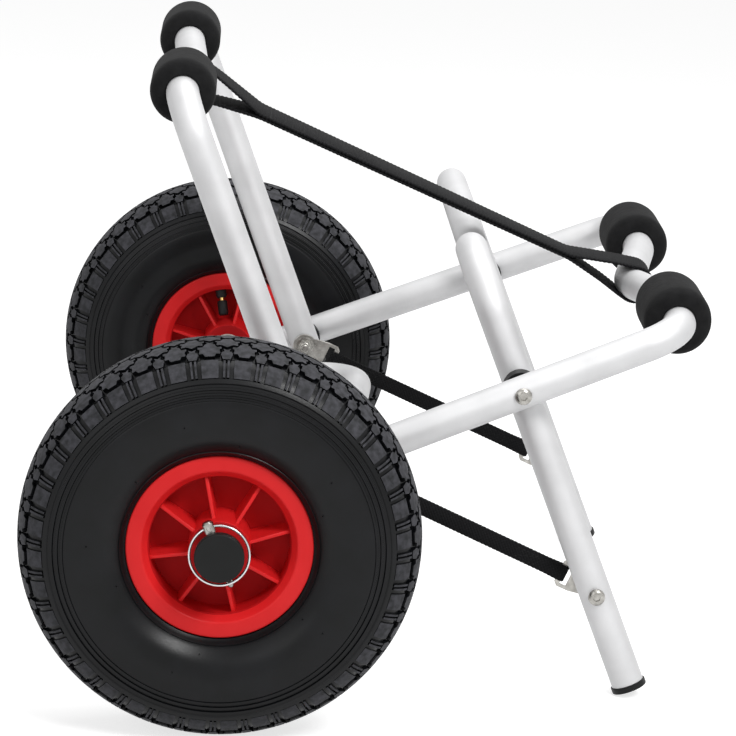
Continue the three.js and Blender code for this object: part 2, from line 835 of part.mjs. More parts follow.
// A wheel, centred on its own plane, with its valve on the cart's side for a left wheel.
function wheel(side, s) {
  const group = new THREE.Group();
  const outerBush = piece(`bush_outer_${side}`, bush(), "bush");
  const innerBush = piece(`bush_inner_${side}`, bush(), "bush");
  innerBush.rotation.x = Math.PI;
  const turnedRound = new THREE.Group();
  turnedRound.add(
    piece(`tyre_${side}`, tyre(), "rubber"),
    piece(`inner_tube_${side}`, innerTube(), "innerRubber"),
    piece(`rim_${side}`, rim(), "rim"),
    outerBush,
    innerBush,
  );
  if (s < 0) turnedRound.rotation.z = Math.PI;
  group.add(turnedRound);
  group.position.y = s * halfTrack;
  return group;
}

// The through axle, with a cross hole for a linch pin at either end.
function axle() {
  const rod = barAlongY(axleRadius, -axleHalfLength, axleHalfLength);
  const crossHole = (s) => {
    const drill = new THREE.CylinderGeometry(pinHole / 2, pinHole / 2, axleDiameter + overrun, boltSides);
    return drill.rotateX(Math.PI / 2).translate(0, s * pinPlane, 0);
  };
  return cut(rod, [crossHole(1), crossHole(-1)]);
}

// A linch pin along Z, its drilled head uppermost, for an axle along Y.
function linchPin() {
  const headMiddle = ringDiameter / 2;
  const shankRadius = pinDiameter / 2;
  const shank = new THREE.CylinderGeometry(shankRadius, shankRadius, pinLength, boltSides);
  shank.rotateX(Math.PI / 2).translate(0, 0, headMiddle - pinLength / 2);
  const headRadius = pinHeadDiameter / 2;
  const head = new THREE.CylinderGeometry(headRadius, headRadius, pinHeadLength, roundSides);
  head.rotateX(Math.PI / 2).translate(0, 0, headMiddle);
  const eyeRadius = pinHeadHole / 2;
  const eyeLength = pinHeadDiameter + overrun;
  const eye = new THREE.CylinderGeometry(eyeRadius, eyeRadius, eyeLength, boltSides);
  eye.rotateZ(Math.PI / 2).translate(0, 0, headMiddle);
  return cut(join([shank, head]), [eye]);
}

// A snap ring that hangs from the pin's head at the origin and rests on the pin's tip.
function snapRing() {
  const ring = new THREE.TorusGeometry(ringDiameter / 2, ringWire / 2, wireSides, hubSides);
  return ring.rotateX(Math.PI / 2).translate(0, 0, -ringDiameter / 2);
}

// A cap pressed on the axle's end, along Y, its open side at 0.
function axleCap() {
  const radius = capDiameter / 2;
  const pairs = [
    [axleRadius + gap, 0],
    [radius, 0],
    [radius, capDepth - capRounding],
    [radius - capRounding, capDepth],
    [0, capDepth],
    [0, capDepth - capFloor],
    [axleRadius + gap, capDepth - capFloor],
  ];
  const fromAxis = [...pairs.slice(5), ...pairs.slice(0, 5)];
  return turned(fromAxis, hubSides);
}

// What sits on the axle outside each wheel, and the spacer inside it.
function axleEnd(side, s) {
  const group = new THREE.Group();
  const bore = axleRadius + gap;
  const spacer = sleeve(spacerDiameter / 2, bore, spacerStart, spacerEnd);
  const washer = sleeve(hubWasherDiameter / 2, bore, hubFace + gap, hubFace + gap + hubWasherDepth);
  const pin = piece(`linch_pin_${side}`, linchPin(), "zinc");
  pin.position.y = pinPlane;
  const cap = piece(`axle_cap_${side}`, axleCap(), "blackPlastic");
  cap.position.y = capBack;
  group.add(
    piece(`axle_spacer_${side}`, spacer, "blackPlastic"),
    piece(`hub_washer_${side}`, washer, "zinc"),
    pin,
    cap,
    ringOnPin(side),
  );
  group.rotation.y = -slope;
  if (s < 0) group.scale.y = -1;
  return group;
}

// The snap ring on its pin, leaning out to rest against the pin's tip.
function ringOnPin(side) {
  const ring = piece(`snap_ring_${side}`, snapRing(), "spring");
  const standOff = pinDiameter / 2 + ringWire / 2 + gap;
  ring.rotation.x = Math.asin(standOff / ringDiameter);
  ring.position.set(0, pinPlane, ringDiameter / 2);
  return ring;
}

// The main frame with what is bolted to its legs, along +X from the axle.
function mainFrame() {
  const frame = new THREE.Group();
  const holes = [
    [0, boreFor(axleRadius)],
    [supportPivotReach, boreFor(boltRadius)],
    [kickstandPivotReach, boreFor(boltRadius)],
  ];
  frame.add(piece("main_frame_tube", drilledTube(routes.main, holes), "tube"));
  for (const [side, s] of sides) {
    const pad = piece(`main_pad_${side}`, foamPad(mainHalfWidthAt(mainReach)), "foam");
    pad.position.x = mainReach;
    if (s < 0) pad.rotation.x = Math.PI;
    const plug = endPlug(`main_plug_${side}`, plugLipRadius, plugLipDepth, plugStem);
    frame.add(pad, seatOnEnd(plug, routes.main, s > 0));
    frame.add(pivotParts(side, s, "support"), pivotParts(side, s, "kickstand"));
  }
  frame.rotation.y = -slope;
  return frame;
}

// How far a plate or saddle is kept off a splayed leg.
function splayRelief(splay) {
  return swingGap + (splay * saddleDiameter) / 2;
}

// How far a bolt's head is kept off a splayed leg.
function headRelief(splay) {
  return gap + (splay * boltHeadDiameter) / 2;
}

// The bolt, nut and saddle of a pivot; the support frame's has a washer and an anchor too.
function pivotParts(side, s, which) {
  const isSupport = which === "support";
  const along = isSupport ? supportPivotReach : kickstandPivotReach;
  const legHalfWidth = isSupport ? supportPivotHalfWidth : kickstandPivotHalfWidth;
  const innerHalfWidth = isSupport ? supportHalfWidth : kickstandHalfWidth;
  const besideLeg = tubeRadius + splayRelief(isSupport ? supportSplay : kickstandSplay);
  const group = new THREE.Group();
  const innerFace = innerHalfWidth - besideLeg;
  const anchorPlace = innerFace - anchorDepth / 2;
  const washerFace = isSupport ? innerFace - anchorDepth - gap : innerFace;
  const nutFace = isSupport ? washerFace - washerDepth - gap : washerFace;
  const nutBack = nutFace - nutDepth;
  const headSeat = legHalfWidth + tubeRadius + headRelief(mainSplay);
  group.add(piece(`${which}_pivot_bolt_${side}`, bolt(headSeat, nutBack - boltEnd), "zinc"));
  group.add(piece(`${which}_pivot_nut_${side}`, nut(nutBack), "zinc"));
  const flat = innerHalfWidth + besideLeg;
  group.add(piece(`${which}_saddle_${side}`, saddle(flat, legHalfWidth, along), "blackPlastic"));
  if (isSupport) {
    const washer = sleeve(washerDiameter / 2, boreFor(boltRadius), washerFace - washerDepth, washerFace);
    group.add(piece(`support_pivot_washer_${side}`, washer, "zinc"));
    const anchor = piece(`pivot_anchor_${side}`, anchorPlate(), "zinc");
    anchor.position.y = anchorPlace;
    anchor.rotation.y = slope - stayHeading();
    group.add(anchor);
  }
  group.position.x = along;
  if (s < 0) group.scale.y = -1;
  return group;
}

// A place in the cart's XZ plane, some way along a direction above level.
function placeAlong(start, along, turn) {
  return new THREE.Vector2(start.x + along * Math.cos(turn), start.y + along * Math.sin(turn));
}

// Places in the XZ plane, from the axle.
function pivotPlaces() {
  const axlePlace = new THREE.Vector2(0, 0);
  const support = placeAlong(axlePlace, supportPivotReach, slope);
  const kickstand = placeAlong(axlePlace, kickstandPivotReach, slope);
  const kickstandTurn = slope - THREE.MathUtils.degToRad(kickstandOpening);
  const stayBolt = placeAlong(kickstand, stayBoltReach, kickstandTurn);
  return { support, kickstand, stayBolt };
}

// The stay straps' direction, above level.
function stayHeading() {
  const { support, stayBolt } = pivotPlaces();
  return stayBolt.clone().sub(support).angle();
}

// The support frame, along +X from its pivot.
function supportFrame() {
  const frame = new THREE.Group();
  const holes = [[0, boreFor(boltRadius)]];
  frame.add(piece("support_frame_tube", drilledTube(routes.support, holes), "tube"));
  for (const [side, s] of sides) {
    const pad = piece(`support_pad_${side}`, foamPad(supportHalfWidthAt(supportReach)), "foam");
    pad.position.x = supportReach;
    if (s < 0) pad.rotation.x = Math.PI;
    const plug = endPlug(`support_plug_${side}`, plugLipRadius, plugLipDepth, plugStem);
    frame.add(pad, seatOnEnd(plug, routes.support, s > 0));
  }
  const { support } = pivotPlaces();
  frame.position.set(support.x, 0, support.y);
  frame.rotation.y = -(slope + THREE.MathUtils.degToRad(supportOpening));
  return frame;
}

// The kickstand, along +X down from its pivot.
function kickstand() {
  const frame = new THREE.Group();
  const holes = [
    [0, boreFor(boltRadius)],
    [stayBoltReach, boreFor(boltRadius)],
  ];
  frame.add(piece("kickstand_tube", drilledTube(routes.kickstand, holes), "tube"));
  for (const [side, s] of sides) {
    const foot = endPlug(`kickstand_foot_${side}`, footRadius, footLipDepth, footStem);
    frame.add(seatOnEnd(foot, routes.kickstand, s > 0), stayParts(side, s));
  }
  const places = pivotPlaces();
  frame.position.set(places.kickstand.x, 0, places.kickstand.y);
  frame.rotation.y = -kickstandTurn();
  return frame;
}

// The kickstand's direction, above level.
function kickstandTurn() {
  return slope - THREE.MathUtils.degToRad(kickstandOpening);
}

// The bolt, nut and strap anchor low on a kickstand leg.
function stayParts(side, s) {
  const group = new THREE.Group();
  const halfWidth = kickstandHalfWidthAt(stayBoltReach);
  const anchorFace = halfWidth - tubeRadius - splayRelief(kickstandSplay);
  const nutFace = anchorFace - anchorDepth - gap;
  const nutBack = nutFace - nutDepth;
  const headSeat = halfWidth + tubeRadius + headRelief(kickstandSplay);
  group.add(piece(`stay_bolt_${side}`, bolt(headSeat, nutBack - boltEnd), "zinc"));
  group.add(piece(`stay_nut_${side}`, nut(nutBack), "zinc"));
  const anchor = piece(`stay_anchor_${side}`, anchorPlate(), "zinc");
  anchor.position.y = anchorFace - anchorDepth / 2;
  anchor.rotation.y = kickstandTurn() - stayHeading() - Math.PI;
  group.add(anchor);
  group.position.x = stayBoltReach;
  if (s < 0) group.scale.y = -1;
  return group;
}

// The short U on the axle, inside the main frame's legs.
function axleBrace() {
  const tube = drilledTube(routes.brace, [[0, boreFor(axleRadius)]]);
  const mesh = piece("axle_brace_tube", tube, "tube");
  mesh.rotation.y = -THREE.MathUtils.degToRad(braceSlope);
  return mesh;
}

// The wide strap round the middles of the two padded crossbars.
function cradleStrap() {
  const places = pivotPlaces();
  const supportTurn = slope + THREE.MathUtils.degToRad(supportOpening);
  const lift = crossbarDip - cradleLoopLift;
  const from = placeAlong(places.support, supportReach - lift, supportTurn);
  const to = placeAlong(new THREE.Vector2(0, 0), mainReach - lift, slope);
  const run = to.clone().sub(from);
  const radius = tubeRadius + cradleLoopSlack;
  const strap = loopedStrap(run.length(), radius, cradleLoopReach, cradleWebDepth, cradleWebWidth);
  strap.rotateX(Math.PI / 2);
  const mesh = piece("cradle_strap", strap, "webbing");
  mesh.rotation.y = -run.angle();
  mesh.position.set(from.x, 0, from.y);
  return mesh;
}

// The narrow straps from the support pivots' anchors to the kickstand's.
function stayStrap(side, s) {
  const { support, stayBolt } = pivotPlaces();
  const heading = stayHeading();
  const start = placeAlong(support, anchorReach, heading);
  const end = placeAlong(stayBolt, -anchorReach, heading);
  const insetBy = (splay) => tubeRadius + splayRelief(splay) + anchorDepth / 2;
  const startHalfWidth = supportHalfWidth - insetBy(supportSplay);
  const endHalfWidth = kickstandHalfWidthAt(stayBoltReach) - insetBy(kickstandSplay);
  const from = new THREE.Vector3(start.x, s * startHalfWidth, start.y);
  const to = new THREE.Vector3(end.x, s * endHalfWidth, end.y);
  const run = to.clone().sub(from);
  const strap = loopedStrap(run.length(), stayLoopRadius, stayLoopReach, stayWebDepth, stayWebWidth);
  const mesh = piece(`stay_strap_${side}`, strap, "webbing");
  const along = run.clone().normalize();
  const level = new THREE.Vector3(0, 1, 0);
  const across = along.clone().cross(level).normalize();
  const through = across.clone().cross(along);
  mesh.setRotationFromMatrix(new THREE.Matrix4().makeBasis(along, through, across));
  mesh.position.copy(from);
  return mesh;
}

// The whole cart, from its axle.
const onAxle = new THREE.Group();
onAxle.add(mainFrame(), supportFrame(), kickstand(), axleBrace(), cradleStrap());
onAxle.add(piece("axle_rod", axle(), "zinc"));
onAxle.children.at(-1).rotation.y = -slope;
for (const [side, s] of sides) {
  onAxle.add(wheel(side, s), axleEnd(side, s), stayStrap(side, s));
}
onAxle.position.set(-originX, 0, wheelRadius);

const cart = new THREE.Group();
cart.add(onAxle);

export default cart;
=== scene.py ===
import json
import math

import bmesh
import bpy
from mathutils import Matrix, Vector


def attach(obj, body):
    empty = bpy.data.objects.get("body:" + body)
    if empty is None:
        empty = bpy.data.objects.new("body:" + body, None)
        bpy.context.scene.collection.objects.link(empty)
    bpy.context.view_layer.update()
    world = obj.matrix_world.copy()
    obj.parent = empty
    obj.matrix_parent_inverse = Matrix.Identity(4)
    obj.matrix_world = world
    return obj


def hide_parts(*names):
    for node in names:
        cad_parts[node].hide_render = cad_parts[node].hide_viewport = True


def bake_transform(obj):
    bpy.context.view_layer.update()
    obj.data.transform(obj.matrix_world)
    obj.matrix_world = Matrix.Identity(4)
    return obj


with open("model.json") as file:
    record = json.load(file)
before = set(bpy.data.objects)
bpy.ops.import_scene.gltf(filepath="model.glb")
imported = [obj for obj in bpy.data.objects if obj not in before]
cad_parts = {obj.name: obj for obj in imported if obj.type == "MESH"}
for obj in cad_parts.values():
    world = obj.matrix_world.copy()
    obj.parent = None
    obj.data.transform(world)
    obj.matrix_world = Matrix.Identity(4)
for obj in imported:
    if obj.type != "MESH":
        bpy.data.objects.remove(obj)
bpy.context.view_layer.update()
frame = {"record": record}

# A folding kayak cart on two pneumatic wheels. Sizes are in millimetres and degrees, and
# each frame is laid out in its own plane: X along its legs, Y across the cart.
MM = 0.001
SIDES = (("left", 1), ("right", -1))
UP = Vector((0, 0, 1))

# Wheels
WHEEL_RADIUS = 130
HALF_TRACK = 293
HUB_RADIUS = 19.75
HUB_LENGTH = 75
HUB_ROUNDING = 1
BARREL_RADIUS = 45
WEB_HALF_DEPTH = 3
WEB_OVERLAP = 2
RIB_COUNT = 8
RIB_TURN = 32
RIB_OVERLAP = 1
RIB_EDGE_WIDTH = 2.4
RIB_ROOT_WIDTH = 3.8
RIB_EASE = 0.5
RIB_HALF_WIDTH_AT_HUB = 29
RIB_HALF_WIDTH_AT_BARREL = 20
BUSH_RADIUS = 12
BUSH_FLANGE_DEPTH = 2
VALVE_TURN = -9.5
VALVE_OFFSET = 13
VALVE_LEAN = 20

# Frames
AXLE_RADIUS = 8
TUBE_RADIUS = 11
TUBE_WALL = 1.5
FRAME_SLOPE = 22.5
SUPPORT_OPENING = 89
KICKSTAND_OPENING = 90
BRACE_SLOPE = 4.7
BEND_RADIUS = 28
DIP_RADIUS = 60
SUPPORT_PIVOT_REACH = 64
KICKSTAND_PIVOT_REACH = 212.3
MAIN_REACH = 326.4
MAIN_HALF_WIDTH = 217.5
MAIN_SPLAY = -0.0628
MAIN_TAIL = 15
CROSSBAR_DIP = 18
DIP_HALF_WIDTH = 88
SUPPORT_REACH = 259
SUPPORT_INSET = 31.5
SUPPORT_SPLAY = 0.027
SUPPORT_TAIL = 15
KICKSTAND_HEAD = 96.6
KICKSTAND_DIP = 37
KICKSTAND_INSET = 29.7
KICKSTAND_SPLAY = 0.0685
KICKSTAND_BEND_RADIUS = 42
STAY_BOLT_REACH = 153
BRACE_REACH = 101
BRACE_HALF_WIDTH = 148
BRACE_DIP = 12
BRACE_BEND_RADIUS = 35
BRACE_TAIL = 14
FOOT_RADIUS = 12
FOOT_LIP = 4
MAIN_PAD_RADIUS = 23
SUPPORT_PAD_RADIUS = 22
PAD_BORE = 11.2
PAD_LENGTH = 71
PAD_END_OVERLAP = 1
PAD_END_ROUNDING = 10
PAD_BORE_ROUNDING = 1.5
PAD_CELL = 8

# Hardware
BOLT_RADIUS = 3
BOLT_HEAD_RADIUS = 5.75
BOLT_HEAD_DEPTH = 3.6
BOLT_HEAD_RIM = 0.8
BOLT_HEAD_EASE = 0.3
BOLT_SOCKET_ACROSS = 4.5
BOLT_SOCKET_DEPTH = 2
BOLT_SOCKET_EASE = 0.4
BOLT_CHAMFER = 0.6
BOLT_PAST_NUT = 3
NUT_ACROSS = 10
NUT_DEPTH = 6
WASHER_RADIUS = 7
WASHER_BORE = 3.3
WASHER_DEPTH = 1.4
WASHER_ROUNDING = 0.35
SADDLE_RADIUS = 12
SADDLE_WRAP = 5
SADDLE_EASE = 0.6
SADDLE_CLEARANCE = 0.05
SADDLE_RINGS = (0, 4, 8)
ANCHOR_DEPTH = 2
ANCHOR_ROUNDING = 0.3
ANCHOR_REACH = 24
ANCHOR_WIDTH = 20
ANCHOR_BAR = 3.6
ANCHOR_CHAMFER = 2.2
ANCHOR_SHOULDER = 2.5
ANCHOR_NECK_TURN = 62
ANCHOR_EYE_RADIUS = 9
ANCHOR_BORE = 3.6
ANCHOR_SLOT = (15.8, 4.8)
HUB_WASHER_RADIUS = 13.6
HUB_WASHER_DEPTH = 1.6
PIN_RADIUS = 2.5
PIN_LENGTH = 41
RING_RADIUS = 19
RING_WIRE = 0.9
CAP_HOLLOW = 4.5
ROD_CHAMFER = 0.8
SPACER_RADIUS = 12
SPACER_LENGTH = 23.3
SPACER_CLEARANCE = 0.8
GAP = 0.3
SWING_GAP = 0.4

# Webbing
CRADLE_TWIST = 4
CRADLE_SLACK = 0.5
CRADLE_LIFT = 1.24
WEB_KNOT_STEP = 1.5
WEB_EDGE_SHARE = 0.3
WEB_SOFTENING = 5
WEB_RIB = 0.2
SELVEDGE = 0.3
SEAM_REACH = 20
YARN = 1.3
YARN_HEIGHT = 0.35
STITCH_INSET = 2.5
STITCH_PITCH = 3.2
STITCH_HALF_LENGTH = 1.15
STITCH_HALF_WIDTH = 0.32
STITCH_HEIGHT = 0.22
STITCH_LIFT = 0.05
STITCH_TAPER = ((-1, 0.25), (-0.6, 1), (0.6, 1), (1, 0.25))

# Each strap: its webbing's width and depth, its loops' radius and reach, the gap to the stitches
# behind a loop and their length, and how far from its ends it follows one frame only
CRADLE = {"web": (38, 1.8), "loop": (TUBE_RADIUS + CRADLE_SLACK, 50), "sewn": (8, 26), "held": 95}
STAY = {"web": (11.4, 1.2), "loop": (2.4, 12), "sewn": (7, 16), "held": 45}

# The tyre's section: (offset from the centre plane, radius), from the tread's middle to the bead
SECTION = [
    (0, 130), (8, 129.6), (14, 128.8), (20, 127.2), (26, 124.5), (30, 121.8), (33, 119), (36, 115),
    (38.5, 110), (40.5, 104), (41.7, 98), (42, 92), (41.5, 84), (39, 74), (34, 66), (29.2, 61.2),
]
SECTION_STEP = 0.25
# From there on, (radius, offset) round the bead and back to the middle of the tyre's inside
BEAD = [(60.2, 28.4), (60.2, 24.6), (51.8, 24.6), (51.8, 16.6), (60, 18), (100, 36), (118, 28), (121, 0)]
INNER_TUBE = [(53, 14), (60, 15), (78, 33), (100, 35), (112, 28), (119, 10)]
# How deep the tyre's body lies under the section's line: (how far along it, depth)
TREAD_FLOOR = [
    (0, 3), (28.2, 3), (29.2, 2.5), (43.7, 2.3), (44.2, 0.3), (47.2, 0.1), (47.8, 1), (57.6, 1),
    (58.2, 0.5), (74, 0),
]
TREAD_REPEATS = 36
TREAD_ROW = 10.5
# A tread block's half outline: (aside, outwards) from its middle, outer tip first
BLOCK = [
    (0, 6.9), (4.2, 3.2), (6.9, 3.9), (7.5, 2.6), (6.9, 1.2), (6.9, -1.2), (8.2, -2.2), (8.0, -4.6),
    (4.9, -4.3), (3.9, -6.6), (3.1, -8.9), (1.7, -9.7),
]
INNER_TAIL = [(0, -9.2)]
EDGE_TAIL = [(2.0, -11.5), (2.7, -13.2), (0, -11.4)]
EDGE_HEAD = [(0, 6.6), (3.3, 6.6), (4.6, 3.6), (6.9, 3.9)]
SHIELD = [(0, 3.0), (2.7, 3.0), (4.0, -1.4), (3.7, -3.6), (1.8, -5.2), (2.0, -6.6), (2.7, -8.4), (0, -6.6)]
SHIELD_MIDDLE = 27
BLOCK_TRIM = 0.95
BLOCK_DEPTH = 3.6
# The shoulder's bars: half width, half length, depth, height of the top and width of its easing
THIN_RIB = (0.75, 6.4, 2.6, -0.1, 0.3)
THIN_RIB_MIDDLE = 36.8
THIN_RIB_ASIDE = 1.45
SHOULDER_PAD = (5.9, 7.1, 2.2, -0.6, 0.6)
SHOULDER_PAD_MIDDLE = 36.3
SHOULDER_LEAN = 3.2
# The sidewall's fine rings, (radius, height), and half the profile of one, (aside, sunk by)
FINE_RINGS = ((106.2, 0.1), (102.9, 0), (99.6, -0.1), (63.5, 0.6))
FINE_RING_FOOT = (1.1, 1.2)
FINE_RING_HALF_WIDTH = 0.7
# The stubs of the mould's vents: the profile, and the rows as radius, count and turn
VENT_PIP = [(0, -0.5), (0.55, -0.5), (0.5, 1.1), (0.3, 1.4), (0, 1.4)]
VENT_ROWS = ((84, 5, 0.3), (69, 6, 0.9))

# Profiles of (radius, height, rounding): half the rim, a bush over the hub's face, a plug and a
# foot over the tube's end, and an axle cap over its back
RIM = [
    (51.5, 0), (51.5, 25), (59.75, 25), (59.75, 28, 1.3), (49.75, 28, 1.3), (BARREL_RADIUS, 22, 1.3),
    (BARREL_RADIUS, 0),
]
BUSH = [(8.3, -22), (BUSH_RADIUS, -22), (BUSH_RADIUS, 0.3), (12.6, 0.3, 0.5), (12.6, 2.3, 0.5), (8.3, 2.3)]
PLUG = [(0, -6), (9.2, -6), (9.2, 0.3), (TUBE_RADIUS, 0.3), (TUBE_RADIUS, 3.3, 1), (0, 3.3)]
FOOT = [(0, -18), (9.2, -18), (9.2, 0.3), (FOOT_RADIUS, 0.3), (FOOT_RADIUS, 4.3, 0.8), (0, 4.3)]
CAP = [(0, CAP_HOLLOW), (8.3, CAP_HOLLOW), (8.3, 0), (15.9, 0, 1.2), (15.9, 6.5, 1.2), (0, 6.5)]
# And of (radius, height): the valve over the axle, the nut over its back and past half its width
# across the flats, the linch pin over its tip, and its rivet off the pin's line
VALVE_FOOT = [(0, 50), (4.3, 50), (4.3, 38.6), (3.4, 37), (0, 37)]
VALVE_NECK = [(0, 38), (2, 38), (2, 33), (0, 33)]
VALVE_CAP = [(0, 34.4), (3.5, 34.4), (4, 33.6), (4, 24.4), (3.2, 23), (0, 23)]
NUT = [(-0.2, 6), (0.35, 5.65), (1, 5.1), (1, 2.2), (0.3, 1.7), (-0.7, 1.5), (-1, 0.4), (-1.6, 0)]
PIN = [
    (0, 0), (1.3, 0), (2.1, 1.2), (2.5, 3), (2.5, 36.8), (2.8, 37), (3.8, 37.8), (3.8, 43.8), (2.6, 45),
    (0, 45),
]
PIN_RIVET = [(0, 2), (2, 2), (2, 4), (1.5, 4), (1.4, 3.1), (0, 3.1)]

# Where the frames meet, from the frame's own joints
joints = {joint["name"]: joint for joint in frame["record"]["behaviour"]["joints"]}
AXLE = Vector(joints["wheel_left_spin"]["pos_m"]) / MM
AXLE.y = 0


def main_half_width(reach):
    """Half the main frame's width, some way along its legs."""
    return MAIN_HALF_WIDTH + MAIN_SPLAY * reach


def support_half_width(reach):
    return main_half_width(SUPPORT_PIVOT_REACH) - SUPPORT_INSET + SUPPORT_SPLAY * reach


def kickstand_half_width(reach):
    return main_half_width(KICKSTAND_PIVOT_REACH) - KICKSTAND_INSET + KICKSTAND_SPLAY * reach


def shift(x, y=0, z=0):
    return Matrix.Translation((x, y, z))


def turn_about(axis, angle):
    return Matrix.Rotation(math.radians(angle), 4, axis)


def laid(origin, turn):
    """The plane of a frame whose legs start at origin and rise by turn."""
    return shift(*origin) @ turn_about("Y", -turn)


def place_on(plane, reach):
    """The place on a frame's middle line, some way from its origin."""
    return plane @ Vector((reach, 0, 0))


MAIN = laid(AXLE, FRAME_SLOPE)
SUPPORT = laid(place_on(MAIN, SUPPORT_PIVOT_REACH), FRAME_SLOPE + SUPPORT_OPENING)
KICKSTAND = laid(place_on(MAIN, KICKSTAND_PIVOT_REACH), FRAME_SLOPE - KICKSTAND_OPENING)
BRACE = laid(AXLE, BRACE_SLOPE)
MIRROR = Matrix.Scale(-1, 4, (0, 1, 0))
Y_TO_Z = turn_about("X", 90)


class Form:
    """A shape in millimetres: its points, its faces, the finish number of each face, and
    how far along and across the weave each point lies, on webbing."""

    def __init__(self, points=(), faces=(), finish=0):
        self.points = [Vector(point) for point in points]
        self.faces = [tuple(face) for face in faces]
        self.finishes = [finish] * len(self.faces)
        self.weave = [(0, 0)] * len(self.points)

    def add(self, *others):
        for other in others:
            start = len(self.points)
            self.points += other.points
            self.faces += [tuple(i + start for i in face) for face in other.faces]
            self.finishes += other.finishes
            self.weave += other.weave
        return self

    def moved(self, move):
        """The same form, with each point put where a function says."""
        form = Form([move(point) for point in self.points], self.faces)
        form.finishes = list(self.finishes)
        form.weave = list(self.weave)
        return form

    def placed(self, matrix):
        return self.moved(lambda point: matrix @ point)


def new_object(name, data):
    """An object in the scene, with a mesh, a light or a camera in it."""
    made = bpy.data.objects.new(name, data)
    bpy.context.scene.collection.objects.link(made)
    return made


def make_piece(name, form, materials, body, replaced=(), sharp=38, bevel=0):
    """Makes a piece from a form, riding on a body and standing for the nodes it replaces."""
    mesh = bpy.data.meshes.new(name)
    mesh.from_pydata([point * MM for point in form.points], [], form.faces)
    for material in materials:
        mesh.materials.append(material)
    mesh.polygons.foreach_set("material_index", form.finishes)
    if WEBBING in materials:
        layer = mesh.uv_layers.new(name="weave")
        for loop in mesh.loops:
            layer.data[loop.index].uv = form.weave[loop.vertex_index]
    work = bmesh.new()
    work.from_mesh(mesh)
    bmesh.ops.recalc_face_normals(work, faces=work.faces)
    work.to_mesh(mesh)
    work.free()
    mesh.shade_smooth()
    mesh.set_sharp_from_angle(angle=math.radians(sharp))
    piece = new_object(name, mesh)
    if bevel:
        edges = piece.modifiers.new("rounded edges", "BEVEL")
        edges.width = bevel * MM
        edges.segments = 2
        edges.limit_method = "ANGLE"
        edges.angle_limit = math.radians(sharp)
    if body:
        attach(piece, body)
    if replaced:
        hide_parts(*replaced)
    return piece


def make_pairs(forms, place, body, ending="fine", sharp=38):
    """Makes pieces on both sides from {stem: (form, material)}, laid out for the left, riding
    on a body or on each side's own."""
    pieces = []
    for side, s in SIDES:
        for stem, (form, material) in forms.items():
            name = f"{stem}_{side}"
            sided = (form if s > 0 else form.placed(MIRROR)).placed(place)
            own_body = body.format(side)
            pieces.append(make_piece(f"{name}_{ending}", sided, [material], own_body, [name], sharp))
    return pieces


def mirrored(run):
    """The same run backwards, with its second numbers turned round."""
    return [(x, -y, *rest) for x, y, *rest in reversed(run)]


def skin(rings, closed=False, finish=0):
    """A form over rings of equally many points, each joined to the next. Either the last ring
    joins the first, or both ends are covered. A ring of one point is a tip."""
    count = max(len(ring) for ring in rings)
    points, rows = [], []
    for ring in rings:
        rows.append([len(points) + i % len(ring) for i in range(count)])
        points += ring
    faces = [] if closed else [rows[0], rows[-1]]
    for here, there in zip(rows, rows[1:] + rows[:closed]):
        for i in range(count):
            j = (i + 1) % count
            faces.append((here[i], here[j], there[j], there[i]))
    faces = [tuple(dict.fromkeys(face)) for face in faces]
    return Form(points, [face for face in faces if len(face) > 2], finish)


def hexagon(across):
    """The radius of a hexagon, as a function of the turn."""
    return lambda turn: across / 2 / math.cos((turn + math.pi / 6) % (math.pi / 3) - math.pi / 6)


def turned(pairs, steps=96, finish=0):
    """A closed form round the Y axis from (radius, place) pairs, where either may be a function
    of the turn. A run that starts off the axis closes on itself."""
    rings = []
    for pair in pairs:
        ring = []
        for i in range(steps if pair[0] else 1):
            turn = 2 * math.pi * i / steps
            radius, place = (value(turn) if callable(value) else value for value in pair)
            ring.append((radius * math.cos(turn), place, radius * math.sin(turn)))
        rings.append(ring)
    return skin(rings, bool(pairs[0][0]), finish)


def rounded(corners, steps=4):
    """A run of (radius, place) pairs. A corner with a third number is rounded by it."""
    run = []
    for i, (x, y, *rounding) in enumerate(corners):
        if not rounding:
            run.append((x, y))
            continue
        here = Vector((x, y))
        before, after = (
            (Vector(corners[k % len(corners)][:2]) - here).normalized() * rounding[0] for k in (i - 1, i + 1)
        )
        for k in range(steps + 1):
            share = k / steps
            run.append(tuple(here + before * (1 - share) ** 2 + after * share**2))
    return run


def bent_route(corners, step=4):
    """Knots (point, heading) of a route through (x, y, bend radius) corners in a plane, with
    one knot for every few degrees of a bend."""
    points = [Vector((x, y, 0)) for x, y, _ in corners]
    headings = [(b - a).normalized() for a, b in zip(points, points[1:])]
    knots = [(points[0], headings[0])]
    for i in range(1, len(points) - 1):
        into, out_of = headings[i - 1], headings[i]
        angle = into.angle(out_of)
        radius = corners[i][2]
        start = points[i] - into * radius * math.tan(angle / 2)
        axis = into.cross(out_of).normalized()
        arm = axis.cross(into) * radius
        count = max(2, math.ceil(math.degrees(angle) / step))
        for k in range(count + 1):
            turn = Matrix.Rotation(angle * k / count, 3, axis)
            knots.append((start + arm - turn @ arm, turn @ into))
    knots.append((points[-1], headings[-1]))
    return knots


def swept(knots, outline):
    """Rings of an outline's (aside, up) points, one at each knot of a route in the XY plane."""
    return [[point + heading.cross(UP) * x + UP * y for x, y in outline] for point, heading in knots]


def arc(radius, start, end, steps):
    """Points on a circle from one turn to another, both with a point."""
    turns = (start + (end - start) * i / steps for i in range(steps + 1))
    return [(radius * math.cos(turn), radius * math.sin(turn)) for turn in turns]


def round_outline(radius, steps):
    return arc(radius, 0, 2 * math.pi, steps)[:-1]


